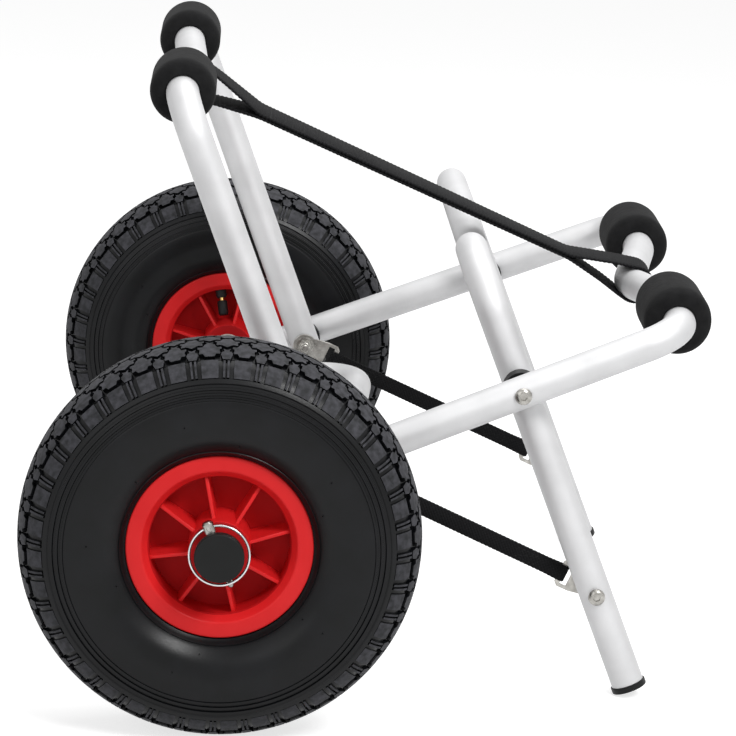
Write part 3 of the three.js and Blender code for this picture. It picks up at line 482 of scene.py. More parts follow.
def frame_route(end, head, width_at, bend, dip, dip_start):
    """A U frame's route from one leg's end round its dipped crossbar to the other's."""
    half = [(end, width_at(end), 0), (head, width_at(head), bend)]
    if dip_start:
        half.append((head, dip_start, DIP_RADIUS))
    middle = head + math.copysign(dip, end - head)
    return bent_route(half + [(middle, 0, DIP_RADIUS)] + mirrored(half))


def with_steps(run, longest):
    """The same closed run, with its long stretches cut into shorter ones."""
    result = []
    for here, there in zip(run, run[1:] + run[:1]):
        count = max(1, math.ceil(math.dist(here, there) / longest))
        for k in range(count):
            result.append(tuple(a + (b - a) * (k / count) for a, b in zip(here, there)))
    return result


def linear(hex_text):
    """An sRGB hex colour as a linear one."""
    shares = [int(hex_text[i : i + 2], 16) / 255 for i in (1, 3, 5)]
    return [s / 12.92 if s <= 0.04045 else ((s + 0.055) / 1.055) ** 2.4 for s in shares] + [1]


def set_inputs(tree, node, inputs):
    """Sets a node's inputs, each to a value or to another node's output."""
    for socket, value in inputs.items():
        if isinstance(value, bpy.types.NodeSocket):
            tree.links.new(value, node.inputs[socket])
        else:
            node.inputs[socket].default_value = value


def add_node(tree, kind, inputs=None, **settings):
    """Adds a node with its settings and its inputs."""
    made = tree.nodes.new(kind)
    for name, value in settings.items():
        setattr(made, name, value)
    set_inputs(tree, made, inputs or {})
    return made


def per_mm(size):
    """A texture scale whose features are about this many millimetres."""
    return 1 / (size * MM)


def new_material(name, **constants):
    """A material, its node tree and its shader, with the shader's own constants."""
    material = bpy.data.materials.new(name)
    material.use_nodes = True
    tree = material.node_tree
    shader = tree.nodes["Principled BSDF"]
    set_inputs(tree, shader, {socket.replace("_", " "): value for socket, value in constants.items()})
    return material, tree, shader


def surface(name, tones, drift, grain, relief, rough, pores=0, **constants):
    """A finish whose colour drifts between two tones over drift millimetres. Its grain, also
    in millimetres, spreads the roughness over a range and stands up by the relief. Foam has
    pores of a size too. The constants are the shader's own."""
    material, tree, shader = new_material(name, **constants)
    place = add_node(tree, "ShaderNodeTexCoord").outputs["Object"]
    cloud = add_node(tree, "ShaderNodeTexNoise", {"Vector": place, "Scale": per_mm(drift), "Detail": 5.0})
    spread = {"Value": cloud.outputs["Fac"], "From Min": 0.32, "From Max": 0.68}
    share = add_node(tree, "ShaderNodeMapRange", spread)
    colours = {0: share.outputs["Result"], 6: linear(tones[0]), 7: linear(tones[1])}
    tone = add_node(tree, "ShaderNodeMix", colours, data_type="RGBA")
    noise = {"Vector": place, "Scale": per_mm(grain), "Detail": 3.0, "Roughness": 0.65}
    fine = add_node(tree, "ShaderNodeTexNoise", noise).outputs["Fac"]
    shine = add_node(tree, "ShaderNodeMapRange", {"Value": fine, "To Min": rough[0], "To Max": rough[1]})
    raised = add_node(tree, "ShaderNodeBump", {"Height": fine, "Distance": relief * MM, "Strength": 0.5})
    if pores:
        depth = pores / 6
        cells = add_node(tree, "ShaderNodeTexVoronoi", {"Vector": place, "Scale": per_mm(pores)})
        inputs = {"Height": cells.outputs["Distance"], "Distance": depth * MM, "Strength": 0.5}
        raised = add_node(tree, "ShaderNodeBump", inputs | {"Normal": raised.outputs["Normal"]})
    outputs = {
        "Base Color": tone.outputs[2],
        "Roughness": shine.outputs["Result"],
        "Normal": raised.outputs["Normal"],
    }
    set_inputs(tree, shader, outputs)
    return material


def woven_webbing():
    """Polypropylene webbing: coarse yarns that go over and under, dull, with a faint shine on each, and a
    darker colour down between them as painted shade. A real yarn is about 1 mm wide, and these are a little
    coarser, so as to show."""
    material, tree, shader = new_material(
        "woven polypropylene webbing", Roughness=0.8, Specular_IOR_Level=0.15
    )
    weave = add_node(tree, "ShaderNodeUVMap", uv_map="weave").outputs["UV"]
    parts = add_node(tree, "ShaderNodeSeparateXYZ", {"Vector": weave})
    waves = []
    for way in ("X", "Y"):
        turns = {0: parts.outputs[way], 1: math.pi / YARN}
        turn = add_node(tree, "ShaderNodeMath", turns, operation="MULTIPLY").outputs[0]
        waves.append(add_node(tree, "ShaderNodeMath", {0: turn}, operation="SINE").outputs[0])
    crossed = add_node(tree, "ShaderNodeMath", {0: waves[0], 1: waves[1]}, operation="MULTIPLY")
    height = add_node(
        tree, "ShaderNodeMapRange", {"Value": crossed.outputs[0], "From Min": -1.0}
    ).outputs["Result"]
    # The yarns' colour darkens where they dip under each other: painted shade
    colours = {0: height, 6: linear("#0B0B0C"), 7: linear("#19191B")}
    tone = add_node(tree, "ShaderNodeMix", colours, data_type="RGBA")
    raised = add_node(tree, "ShaderNodeBump", {"Height": height, "Distance": YARN_HEIGHT * MM})
    set_inputs(tree, shader, {"Base Color": tone.outputs[2], "Normal": raised.outputs["Normal"]})
    return material


# Bead-blasted and clear anodised: pale silver, with an even fine grain and a soft shine
ALUMINIUM = surface(
    "satin anodised aluminium", ("#D0D0D1", "#DADADB"), 26, 0.9, 0.05, (0.5, 0.62), Metallic=0.55
)
# Closed-cell rubber foam with a skin: matt black, pitted by its small cells
FOAM = surface(
    "closed-cell rubber foam", ("#0A0A0B", "#161617"), 7, 5, 0.4, (0.85, 1.0), 1.4, Specular_IOR_Level=0.25
)
WEBBING = woven_webbing()
# Twisted nylon: black, a little shinier than the webbing
THREAD = surface(
    "bonded nylon thread", ("#0D0D0E", "#171718"), 6, 0.6, 0.1, (0.5, 0.65), Specular_IOR_Level=0.2
)
# Vulcanised rubber off the mould: black and half dull, with a faint bloom
RUBBER = surface(
    "vulcanised tyre rubber", ("#040506", "#0C0D10"), 20, 1.2, 0.06, (0.24, 0.4), Specular_IOR_Level=0.21
)
# The same rubber on the tread's tops: greyed and dulled by dust and first use, and lighter still as a
# painted highlight from above
TREAD_DUST_AND_HIGHLIGHT = surface(
    "scuffed tread rubber with painted highlight", ("#1E1F21", "#424247"), 4, 0.8, 0.14, (0.6, 0.8), Specular_IOR_Level=0.25
)
# Turned brass: the valve's bare neck
BRASS = surface("turned brass", ("#B08D4C", "#C6A566"), 5, 0.5, 0.02, (0.25, 0.4), Metallic=1.0)
# Butyl rubber: smooth and dull black
INNER_RUBBER = surface(
    "butyl inner tube rubber", ("#0F0F0F", "#171717"), 15, 1.5, 0.05, (0.5, 0.65), Specular_IOR_Level=0.3
)
# Injection moulded polypropylene: an even strong red, half gloss, with the mould's orange peel
RED_PLASTIC = surface(
    "moulded red polypropylene", ("#E02225", "#E8292B"), 30, 1.6, 0.04, (0.3, 0.42), Specular_IOR_Level=0.2
)
# The same plastic down in the dish and on the hub's end faces: rougher, and a darker red as painted shade
DISH_SHADE_PLASTIC = surface(
    "red polypropylene with painted dish shade", ("#B9161A", "#C3191D"), 30, 1.6, 0.05, (0.5, 0.65),
    Specular_IOR_Level=0.15,
)
# Moulded nylon: black, with a fine even texture from the mould
BLACK_PLASTIC = surface(
    "moulded black nylon", ("#0E0F0F", "#151616"), 20, 0.6, 0.05, (0.42, 0.56), Specular_IOR_Level=0.2
)
# Moulded acetal: waxy off-white
BUSH_PLASTIC = surface("moulded acetal", ("#DAD7CE", "#E4E1D9"), 20, 1, 0.03, (0.4, 0.52))
# Bright zinc on steel: grey, a little clouded by the plating's crystals
ZINC = surface("zinc plated steel", ("#8F8D88", "#AFADA8"), 4, 0.6, 0.04, (0.2, 0.36), Metallic=1.0)
# The same zinc on stamped plate: duller, and darker where it is rubbed
DULL_ZINC = surface(
    "zinc plated stamped plate", ("#93918C", "#B9B7B2"), 5, 0.8, 0.05, (0.22, 0.38), Metallic=1.0
)
# Drawn and polished spring wire
SPRING = surface(
    "bright spring steel wire", ("#C4C5C7", "#D6D7D8"), 4, 0.5, 0.02, (0.14, 0.24), Metallic=1.0
)


def bent_tubes():
    """Makes the four tubes, and gives the plane and the route of each."""
    u_frame = (BEND_RADIUS, CROSSBAR_DIP, DIP_HALF_WIDTH)
    routes = {}
    stand = (KICKSTAND_BEND_RADIUS, KICKSTAND_DIP, 0)
    brace = (BRACE_BEND_RADIUS, BRACE_DIP, 0)
    for name, plane, end, head, width_at, sizes in (
        ("main_frame", MAIN, -MAIN_TAIL, MAIN_REACH, main_half_width, u_frame),
        ("support_frame", SUPPORT, -SUPPORT_TAIL, SUPPORT_REACH, support_half_width, u_frame),
        ("kickstand", KICKSTAND, kickstand_end(), -KICKSTAND_HEAD, kickstand_half_width, stand),
        ("axle_brace", BRACE, -BRACE_TAIL, BRACE_REACH, lambda _: BRACE_HALF_WIDTH, brace),
    ):
        node = f"{name}_tube"
        body = "main_frame" if name == "axle_brace" else name
        route = frame_route(end, head, width_at, *sizes)
        outer, bore = (
            swept(route, round_outline(radius, 48)) for radius in (TUBE_RADIUS, TUBE_RADIUS - TUBE_WALL)
        )
        form = skin(outer + bore[::-1], closed=True).placed(plane)
        make_piece(f"{node}_bent", form, [ALUMINIUM], body, [node], sharp=50)
        routes[node] = (plane, route)
    return routes


def kickstand_end():
    """Where the kickstand's tube ends, so that its feet's rear edges meet the ground."""
    slope = math.radians(FRAME_SLOPE)
    pivot_height = WHEEL_RADIUS + KICKSTAND_PIVOT_REACH * math.sin(slope)
    lean = math.acos(math.cos(slope) / math.hypot(1, KICKSTAND_SPLAY))
    foot_reach = (pivot_height - FOOT_RADIUS * math.sin(lean)) / math.cos(slope)
    return foot_reach - (FOOT_LIP + GAP) / math.hypot(1, KICKSTAND_SPLAY)


def facing(point, heading):
    """A place at a point, with Y along a heading."""
    return shift(*point) @ Vector((0, 1, 0)).rotation_difference(heading).to_matrix().to_4x4()


def plugs(routes):
    for stem, body, corners in (
        ("main_plug", "main_frame", PLUG),
        ("support_plug", "support_frame", PLUG),
        ("kickstand_foot", "kickstand", FOOT),
    ):
        form = turned(rounded(corners), steps=48)
        plane, route = routes[f"{body}_tube"]
        for side, s in SIDES:
            point, heading = route[0] if s > 0 else route[-1]
            place = plane @ facing(point, -s * heading)
            name = f"{stem}_{side}"
            make_piece(f"{name}_moulded", form.placed(place), [BLACK_PLASTIC], body, [name])


def foam_pads():
    for stem, plane, body, reach, width_at, radius in (
        ("main_pad", MAIN, "main_frame", MAIN_REACH, main_half_width, MAIN_PAD_RADIUS),
        ("support_pad", SUPPORT, "support_frame", SUPPORT_REACH, support_half_width, SUPPORT_PAD_RADIUS),
    ):
        outer = width_at(reach) - BEND_RADIUS + PAD_END_OVERLAP
        inner = outer - PAD_LENGTH
        corners = [
            (PAD_BORE, outer, PAD_BORE_ROUNDING),
            (radius, outer, PAD_END_ROUNDING),
            (radius, inner, PAD_END_ROUNDING),
            (PAD_BORE, inner, PAD_BORE_ROUNDING),
        ]
        form = turned(with_steps(rounded(corners, steps=5), PAD_CELL), steps=64)
        for pad in make_pairs({stem: (form, FOAM)}, plane @ shift(reach), body, "foam", sharp=60):
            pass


def smooth_section():
    """Points at even steps along a smooth curve through the section's points."""
    knots = [Vector(point) for point in SECTION]
    knots = [Vector((-knots[1].x, knots[1].y))] + knots + [knots[-1] * 2 - knots[-2]]
    steps = 24
    fine = []
    for p0, p1, p2, p3 in zip(knots, knots[1:], knots[2:], knots[3:]):
        for k in range(steps):
            t = k / steps
            bend = 2 * p0 - 5 * p1 + 4 * p2 - p3
            fine.append(0.5 * (2 * p1 + (p2 - p0) * t + bend * t * t + (3 * p1 - p0 - 3 * p2 + p3) * t**3))
    fine.append(knots[-2])
    even = [fine[0]]
    walked = 0
    for here, there in zip(fine, fine[1:]):
        length = (there - here).length
        while walked + length >= SECTION_STEP * len(even):
            even.append(here.lerp(there, (SECTION_STEP * len(even) - walked) / length))
        walked += length
    return even


SECTION_POINTS = smooth_section()


def on_section(along, height=0):
    """(radius, offset) some way along the section from the tread's middle, and above it."""
    last = len(SECTION_POINTS) - 1
    at = min(abs(along) / SECTION_STEP, last)
    i = min(int(at), last - 1)
    spot = SECTION_POINTS[i].lerp(SECTION_POINTS[i + 1], at - i)
    run = (SECTION_POINTS[min(i + 2, last)] - SECTION_POINTS[max(i - 1, 0)]).normalized()
    spot = spot + Vector((-run.y, run.x)) * height
    return spot.y, -spot.x if along < 0 else spot.x


def along_at_radius(radius):
    """How far along the section a radius on the sidewall lies."""
    return next(i * SECTION_STEP for i, point in enumerate(SECTION_POINTS) if point.y < radius)


def tread_floor(along):
    """The depth of the tyre's body under the section's line, some way along it."""
    at = abs(along)
    for (near, near_depth), (far, far_depth) in zip(TREAD_FLOOR, TREAD_FLOOR[1:]):
        if at < far:
            return near_depth + (far_depth - near_depth) * (at - near) / (far - near)
    return TREAD_FLOOR[-1][1]


def flat_block(half_outline, depth, bevel=0.4, draft=0.3, cells=4.0):
    """A tread block laid flat: outline in XY, top at 0, sunk to the depth, cut into cells."""
    outline = half_outline + [(-x, y) for x, y in reversed(half_outline) if x]
    work = bmesh.new()
    corners = [work.verts.new((x, y, 0)) for x, y in outline]
    top = work.faces.new(corners)
    bmesh.ops.inset_region(work, faces=[top], thickness=bevel, depth=0)
    for corner in corners:
        corner.co.z = -bevel
    edges = [edge for edge in work.edges if edge.is_boundary]
    made = bmesh.ops.extrude_edge_only(work, edges=edges)["geom"]
    for vert in made:
        if isinstance(vert, bmesh.types.BMVert):
            away = Vector((vert.co.x, vert.co.y, 0))
            vert.co += away.normalized() * draft
            vert.co.z = -depth
    for axis in (0, 1):
        reach = max(abs(vert.co[axis]) for vert in work.verts)
        plane = Vector((0, 0, 0))
        plane[axis] = 1
        for i in range(-int(reach / cells), int(reach / cells) + 1):
            geometry = work.verts[:] + work.edges[:] + work.faces[:]
            bmesh.ops.bisect_plane(work, geom=geometry, plane_co=plane * i * cells, plane_no=plane)
    bottom = [edge for edge in work.edges if edge.is_boundary]
    bmesh.ops.contextual_create(work, geom=bottom)
    bmesh.ops.recalc_face_normals(work, faces=work.faces)
    work.verts.index_update()
    form = Form([vert.co for vert in work.verts], [[v.index for v in face.verts] for face in work.faces])
    # Faces that look up take the second finish: dust, and a painted highlight from the light above
    form.finishes = [1 if face.normal.z > 0.5 else 0 for face in work.faces]
    work.free()
    return form


def on_tyre(form, turn, along, outwards):
    """A flat form laid on the tyre: its X goes round, its Y outwards along the section."""

    def move(point):
        radius, offset = on_section(along + outwards * point.y, point.z)
        angle = turn + point.x / WHEEL_RADIUS
        return Vector((radius * math.sin(angle), offset, radius * math.cos(angle)))

    return form.moved(move)


def leaning_bar(half_width, half_length, depth, height, bevel):
    """A raised bar of the shoulder with eased edges, laid flat."""
    side = [(0, half_length), (half_width, half_length)]
    form = flat_block(side + mirrored(side), depth, bevel, draft=0.15, cells=3)
    return form.placed(turn_about("X", SHOULDER_LEAN) @ shift(0, 0, height))


def tread():
    """The blocks and the shoulders' thin ribs, all round the tyre."""
    middle = [(x, y) for x, y in BLOCK if y > 0]
    edge = EDGE_HEAD + BLOCK[3:] + EDGE_TAIL
    inner_block, middle_block, edge_block, shield = (
        flat_block([(x * BLOCK_TRIM, y * BLOCK_TRIM) for x, y in half], BLOCK_DEPTH)
        for half in (BLOCK + INNER_TAIL, middle + mirrored(middle), edge, SHIELD)
    )
    thin_rib = leaning_bar(*THIN_RIB)
    shoulder_pad = leaning_bar(*SHOULDER_PAD)
    form = Form()
    for i in range(TREAD_REPEATS):
        turn = 2 * math.pi * i / TREAD_REPEATS
        half = turn + math.pi / TREAD_REPEATS
        form.add(on_tyre(middle_block, half, 0, 1))
        for s in (1, -1):
            form.add(
                on_tyre(inner_block, turn, s * TREAD_ROW, s),
                on_tyre(edge_block, half, s * TREAD_ROW * 2, s),
                on_tyre(shield, turn, s * SHIELD_MIDDLE, s),
                on_tyre(shoulder_pad, half, s * SHOULDER_PAD_MIDDLE, s),
            )
            for aside in (-THIN_RIB_ASIDE, THIN_RIB_ASIDE):
                form.add(on_tyre(thin_rib, turn + aside / WHEEL_RADIUS, s * THIN_RIB_MIDDLE, s))
    return form


def tyre_body():
    """The smooth casing down to the beads inside the rim, and back within."""
    end = (len(SECTION_POINTS) - 1) * SECTION_STEP
    count = 110
    steps = [end * k / count for k in range(-count, count + 1)]
    run = [on_section(along, -tread_floor(along)) for along in steps]
    return turned(run + BEAD + mirrored(BEAD[:-1]), steps=180)


def fine_rings():
    """The mould's thin rings on each sidewall."""
    foot, sunk = FINE_RING_FOOT
    form = Form()
    for radius, height in FINE_RINGS:
        at = along_at_radius(radius)
        half = [(-foot, -sunk), (-FINE_RING_HALF_WIDTH, height)]
        profile = half + [(-aside, lift) for aside, lift in reversed(half)]
        for s in (1, -1):
            form.add(turned([on_section(s * (at + aside), lift) for aside, lift in profile], steps=180))
    return form


def vent_pips():
    """Stubs that the mould's vents leave on the sidewalls."""
    pip = turned(VENT_PIP, steps=10).placed(Y_TO_Z)
    form = Form()
    for radius, count, first_turn in VENT_ROWS:
        at = along_at_radius(radius)
        for i in range(count):
            turn = 2 * math.pi * i / count + first_turn
            for s in (1, -1):
                form.add(on_tyre(pip, turn, s * at, s))
    return form


def rim_form():
    """The moulded rim: flanged barrel, web and hub, with painted shade down in its dish and on the hub's end
    faces.
    """
    half = rounded(RIM)
    half_hub = HUB_LENGTH / 2
    hub_end = [(BUSH_RADIUS + GAP, -half_hub), (HUB_RADIUS, -half_hub, HUB_ROUNDING)]
    web_end = [(BARREL_RADIUS + WEB_OVERLAP, WEB_HALF_DEPTH), (HUB_RADIUS - WEB_OVERLAP, WEB_HALF_DEPTH)]
    form = Form().add(
        turned(half[:-1] + mirrored(half[1:-1]), steps=144),
        turned(rounded(hub_end + mirrored(hub_end))),
        turned(mirrored(web_end)[1:] + web_end + mirrored(web_end)[:1]),
    )
    # Faces between the hub and the barrel, and the hub's end faces, take the second finish: painted shade
    shade_from, shade_to = HUB_RADIUS + 1, BARREL_RADIUS + 3
    hub_face = half_hub - HUB_ROUNDING / 2
    for i, face in enumerate(form.faces):
        reach = max(math.hypot(form.points[k].x, form.points[k].z) for k in face)
        off = min(abs(form.points[k].y) for k in face)
        on_hub_face = reach < shade_from and off > hub_face
        form.finishes[i] = 1 if shade_from < reach < shade_to or on_hub_face else 0
    return form


def rib_forms():
    """The eight ribs, thicker at the web than at their edges, as the mould's draft leaves them."""
    inner = HUB_RADIUS - RIB_OVERLAP
    outer = BARREL_RADIUS + RIB_OVERLAP
    rings = []
    for s, width in ((-1, RIB_EDGE_WIDTH), (0, RIB_ROOT_WIDTH), (1, RIB_EDGE_WIDTH)):
        at_hub = (inner, s * RIB_HALF_WIDTH_AT_HUB)
        at_barrel = (outer, s * RIB_HALF_WIDTH_AT_BARREL)
        half = width / 2
        rings.append([(*at_hub, -half), (*at_barrel, -half), (*at_barrel, half), (*at_hub, half)])
    rib = skin(rings)
    turns = (RIB_TURN + 360 * k / RIB_COUNT for k in range(RIB_COUNT))
    return Form().add(*(rib.placed(turn_about("Y", -turn)) for turn in turns))


def valve_form():
    """The valve: a rubber foot, a bare neck and a screw cap, leaning out of the rim."""
    steps = 24
    form = turned(VALVE_FOOT, steps)
    form.add(turned(VALVE_NECK, steps, finish=1), turned(VALVE_CAP, steps))
    at_barrel = shift(0, 0, BARREL_RADIUS)
    lean = at_barrel @ turn_about("X", -VALVE_LEAN) @ at_barrel.inverted()
    return form.placed(shift(0, -VALVE_OFFSET) @ turn_about("Y", VALVE_TURN) @ lean @ Y_TO_Z)


def wheels():
    """Makes both wheels: each has a tyre, an inner tube, a rim with its ribs, and two bushes."""
    tyre = tyre_body().add(tread(), fine_rings(), vent_pips())
    inner_tube = turned(INNER_TUBE + mirrored(INNER_TUBE)).add(valve_form())
    bush = turned(rounded(BUSH), steps=64).placed(shift(0, HUB_LENGTH / 2))
    rows = (
        # The tyre's second finish: dust and a painted highlight on the tops of its blocks, pads and ribs
        ("tyre_{}", "treaded", tyre, [RUBBER, TREAD_DUST_AND_HIGHLIGHT]),
        ("inner_tube_{}", "blown", inner_tube, [INNER_RUBBER, BRASS]),
        # The rim's second finish is painted shade in its dish and on its hub's end faces
        ("rim_{}", "moulded", rim_form(), [RED_PLASTIC, DISH_SHADE_PLASTIC]),
        ("bush_outer_{}", "moulded", bush, [BUSH_PLASTIC]),
        ("bush_inner_{}", "moulded", bush.placed(turn_about("X", 180)), [BUSH_PLASTIC]),
    )
    ribs = rib_forms()
    for side, s in SIDES:
        place = shift(*AXLE) @ shift(0, s * HALF_TRACK) @ turn_about("Z", 0 if s > 0 else 180)
        body = f"wheel_{side}"
        for stem, ending, form, materials in rows:
            node = stem.format(side)
            make_piece(f"{node}_{ending}", form.placed(place), materials, body, [node])
        make_piece(f"rim_{side}_ribs", ribs.placed(place), [RED_PLASTIC], body, sharp=30, bevel=RIB_EASE)


def bolt_form(head_seat, end):
    """A button-headed bolt along Y with a hexagon socket; places are half widths."""
    rim = head_seat + BOLT_HEAD_RIM
    top = head_seat + BOLT_HEAD_DEPTH
    turns = [math.radians(angle) for angle in range(0, 70, 10)]
    socket = hexagon(BOLT_SOCKET_ACROSS)
    run = [
        (0, end),
        (BOLT_RADIUS - BOLT_CHAMFER, end),
        (BOLT_RADIUS, end + BOLT_CHAMFER),
        (BOLT_RADIUS, head_seat),
        (BOLT_HEAD_RADIUS - BOLT_HEAD_EASE, head_seat),
        *((BOLT_HEAD_RADIUS * math.cos(turn), rim + (top - rim) * math.sin(turn)) for turn in turns),
        (socket, top - BOLT_SOCKET_EASE),
        (socket, top - BOLT_SOCKET_DEPTH),
        (0, top - BOLT_SOCKET_DEPTH),
    ]
    return turned(run, steps=48)


def nut_form(back):
    """A locking nut along Y: chamfered hexagon with a round collar towards its back."""
    flats = hexagon(NUT_ACROSS)

    def cut(past):
        return lambda turn: min(flats(turn), NUT_ACROSS / 2 + past)

    run = [(cut(past), back + height) for past, height in NUT]
    return turned([(BOLT_RADIUS, back + NUT_DEPTH), *run, (BOLT_RADIUS, back)], steps=48)


def washer_form(radius, bore, start, length):
    end = start + length
    corners = [(bore, start), (radius, start, WASHER_ROUNDING), (radius, end, WASHER_ROUNDING), (bore, end)]
    return turned(rounded(corners, steps=2), steps=64)


def saddle_form(flat, leg_half_width):
    """A black saddle between two tubes: flat on one side and wrapped round the other tube."""
    rim = leg_half_width - TUBE_RADIUS + SADDLE_WRAP
    edge = SADDLE_RADIUS - SADDLE_EASE

    def hollow(radius):
        def place(turn):
            depth = math.sqrt(max((TUBE_RADIUS + GAP) ** 2 - (radius * math.sin(turn)) ** 2, 0))
            return min(leg_half_width - depth, rim) - SADDLE_CLEARANCE

        return place

    run = [(radius, hollow(radius)) for radius in (*SADDLE_RINGS, edge, SADDLE_RADIUS)]
    return turned([*run, (SADDLE_RADIUS, flat + SADDLE_EASE), (edge, flat), (0, flat)], steps=48)


def plate_form(outline, holes, depth):
    """A stamped plate in the XZ plane, its edges rounded, centred on Y = 0."""
    curve = bpy.data.curves.new("outline", "CURVE")
    curve.dimensions = "2D"
    curve.fill_mode = "BOTH"
    curve.extrude = (depth / 2 - ANCHOR_ROUNDING) * MM
    curve.bevel_depth = ANCHOR_ROUNDING * MM
    curve.bevel_resolution = 1
    for ring in [outline] + holes:
        spline = curve.splines.new("POLY")
        spline.points.add(len(ring) - 1)
        for point, (x, z) in zip(spline.points, ring):
            point.co = (x * MM, z * MM, 0, 1)
        spline.use_cyclic_u = True
    holder = bpy.data.objects.new("outline", curve)
    mesh = holder.to_mesh()
    form = Form([vert.co / MM for vert in mesh.vertices], [face.vertices[:] for face in mesh.polygons])
    holder.to_mesh_clear()
    bpy.data.objects.remove(holder)
    bpy.data.curves.remove(curve)
    return form.placed(Y_TO_Z)


def anchor_form():
    """A strap anchor: an eye for the bolt and a bar that the webbing goes round."""
    half = ANCHOR_WIDTH / 2 - ANCHOR_ROUNDING
    end = ANCHOR_REACH + ANCHOR_BAR / 2 - ANCHOR_ROUNDING
    slot_end = ANCHOR_REACH - ANCHOR_BAR / 2
    slot_length, slot_width = ANCHOR_SLOT
    shoulder = slot_end - slot_width - ANCHOR_SHOULDER
    corners = [(end - ANCHOR_CHAMFER, -half), (end, -half + ANCHOR_CHAMFER)]
    steps = 24
    neck = math.radians(ANCHOR_NECK_TURN)
    eye = arc(ANCHOR_EYE_RADIUS - ANCHOR_ROUNDING, neck, 2 * math.pi - neck, steps)
    outline = [*corners, *mirrored(corners), (shoulder, half), *eye, (shoulder, -half)]
    slot_side = [
        (slot_end + ANCHOR_ROUNDING, -slot_length / 2),
        (slot_end - slot_width - ANCHOR_ROUNDING, -slot_length / 2),
    ]
    holes = [slot_side + mirrored(slot_side), round_outline(ANCHOR_BORE, steps)]
    return plate_form(outline, holes, ANCHOR_DEPTH)


def stay_heading():
    """The stay straps' direction above level, in degrees."""
    run = place_on(KICKSTAND, STAY_BOLT_REACH) - SUPPORT.translation
    return math.degrees(math.atan2(run.z, run.x))


def splay_relief(splay, radius=SADDLE_RADIUS, gap=SWING_GAP):
    """The gap that a splayed leg needs beside a round part on its bolt."""
    return gap + abs(splay) * radius


def turned_anchor(face, heading):
    """An anchor whose outer face is at a half width, pointing along a heading."""
    return anchor_form().placed(shift(0, face - ANCHOR_DEPTH / 2) @ turn_about("Y", heading))


def pivot_hardware():
    for which, along, inner_width, splay in (
        ("support", SUPPORT_PIVOT_REACH, support_half_width(0), SUPPORT_SPLAY),
        ("kickstand", KICKSTAND_PIVOT_REACH, kickstand_half_width(0), KICKSTAND_SPLAY),
    ):
        leg_width = main_half_width(along)
        beside = TUBE_RADIUS + splay_relief(splay)
        inner_face = inner_width - beside
        washer_face = inner_face - ANCHOR_DEPTH - GAP
        nut_face = washer_face - WASHER_DEPTH - GAP if which == "support" else inner_face
        back = nut_face - NUT_DEPTH
        head_seat = leg_width + TUBE_RADIUS + splay_relief(MAIN_SPLAY, BOLT_HEAD_RADIUS, GAP)
        forms = {
            f"{which}_pivot_bolt": (bolt_form(head_seat, back - BOLT_PAST_NUT), ZINC),
            f"{which}_pivot_nut": (nut_form(back), ZINC),
            f"{which}_saddle": (saddle_form(inner_width + beside, leg_width), BLACK_PLASTIC),
        }
        if which == "support":
            washer = washer_form(WASHER_RADIUS, WASHER_BORE, washer_face - WASHER_DEPTH, WASHER_DEPTH)
            forms["support_pivot_washer"] = (washer, ZINC)
            forms["pivot_anchor"] = (turned_anchor(inner_face, FRAME_SLOPE - stay_heading()), DULL_ZINC)
        make_pairs(forms, MAIN @ shift(along), "main_frame")


def stay_hardware():
    width = kickstand_half_width(STAY_BOLT_REACH)
    anchor_face = width - TUBE_RADIUS - splay_relief(KICKSTAND_SPLAY)
    back = anchor_face - ANCHOR_DEPTH - GAP - NUT_DEPTH
    head_seat = width + TUBE_RADIUS + splay_relief(KICKSTAND_SPLAY, BOLT_HEAD_RADIUS, GAP)
    heading = FRAME_SLOPE - KICKSTAND_OPENING - stay_heading() - 180
    forms = {
        "stay_bolt": (bolt_form(head_seat, back - BOLT_PAST_NUT), ZINC),
        "stay_nut": (nut_form(back), ZINC),
        "stay_anchor": (turned_anchor(anchor_face, heading), DULL_ZINC),
    }
    make_pairs(forms, KICKSTAND @ shift(STAY_BOLT_REACH), "kickstand")


def axle_hardware():
    bore = AXLE_RADIUS + GAP
    spacer_start = MAIN_HALF_WIDTH + TUBE_RADIUS + GAP + SPACER_CLEARANCE
    washer_start = HALF_TRACK + HUB_LENGTH / 2 + BUSH_FLANGE_DEPTH + 2 * GAP
    pin_plane = washer_start + HUB_WASHER_DEPTH + GAP + PIN_RADIUS
    cap_back = pin_plane + PIN_RADIUS + 2 * GAP
    rod_end = cap_back + CAP_HOLLOW - GAP
    half_rod = [(AXLE_RADIUS, rod_end - ROD_CHAMFER), (AXLE_RADIUS - ROD_CHAMFER, rod_end), (0, rod_end)]
    rod = turned(mirrored(half_rod) + half_rod, steps=48)
    make_piece("axle_rod_turned", rod.placed(MAIN), [ZINC], "main_frame", ["axle_rod"])
    cap = turned(rounded(CAP), steps=72).placed(shift(0, cap_back))
    forms = {
        "axle_spacer": (washer_form(SPACER_RADIUS, bore, spacer_start, SPACER_LENGTH), BLACK_PLASTIC),
        "hub_washer": (washer_form(HUB_WASHER_RADIUS, bore, washer_start, HUB_WASHER_DEPTH), ZINC),
        "linch_pin": (pin_form(pin_plane), ZINC),
        "axle_cap": (cap, BLACK_PLASTIC),
    }
    make_pairs(forms, MAIN, "main_frame")
    make_pairs({"snap_ring": (ring_form(pin_plane), SPRING)}, MAIN, "ring_{}", "wire", sharp=60)


def pin_form(plane):
    """A linch pin along Z: a tapered shank and a round head with the ring's hole."""
    shank = turned(PIN, steps=32).placed(shift(0, 0, RING_RADIUS - PIN_LENGTH) @ Y_TO_Z)
    rivet = turned(PIN_RIVET, steps=24).placed(shift(0, 0, RING_RADIUS))
    return shank.add(rivet).placed(shift(0, plane))


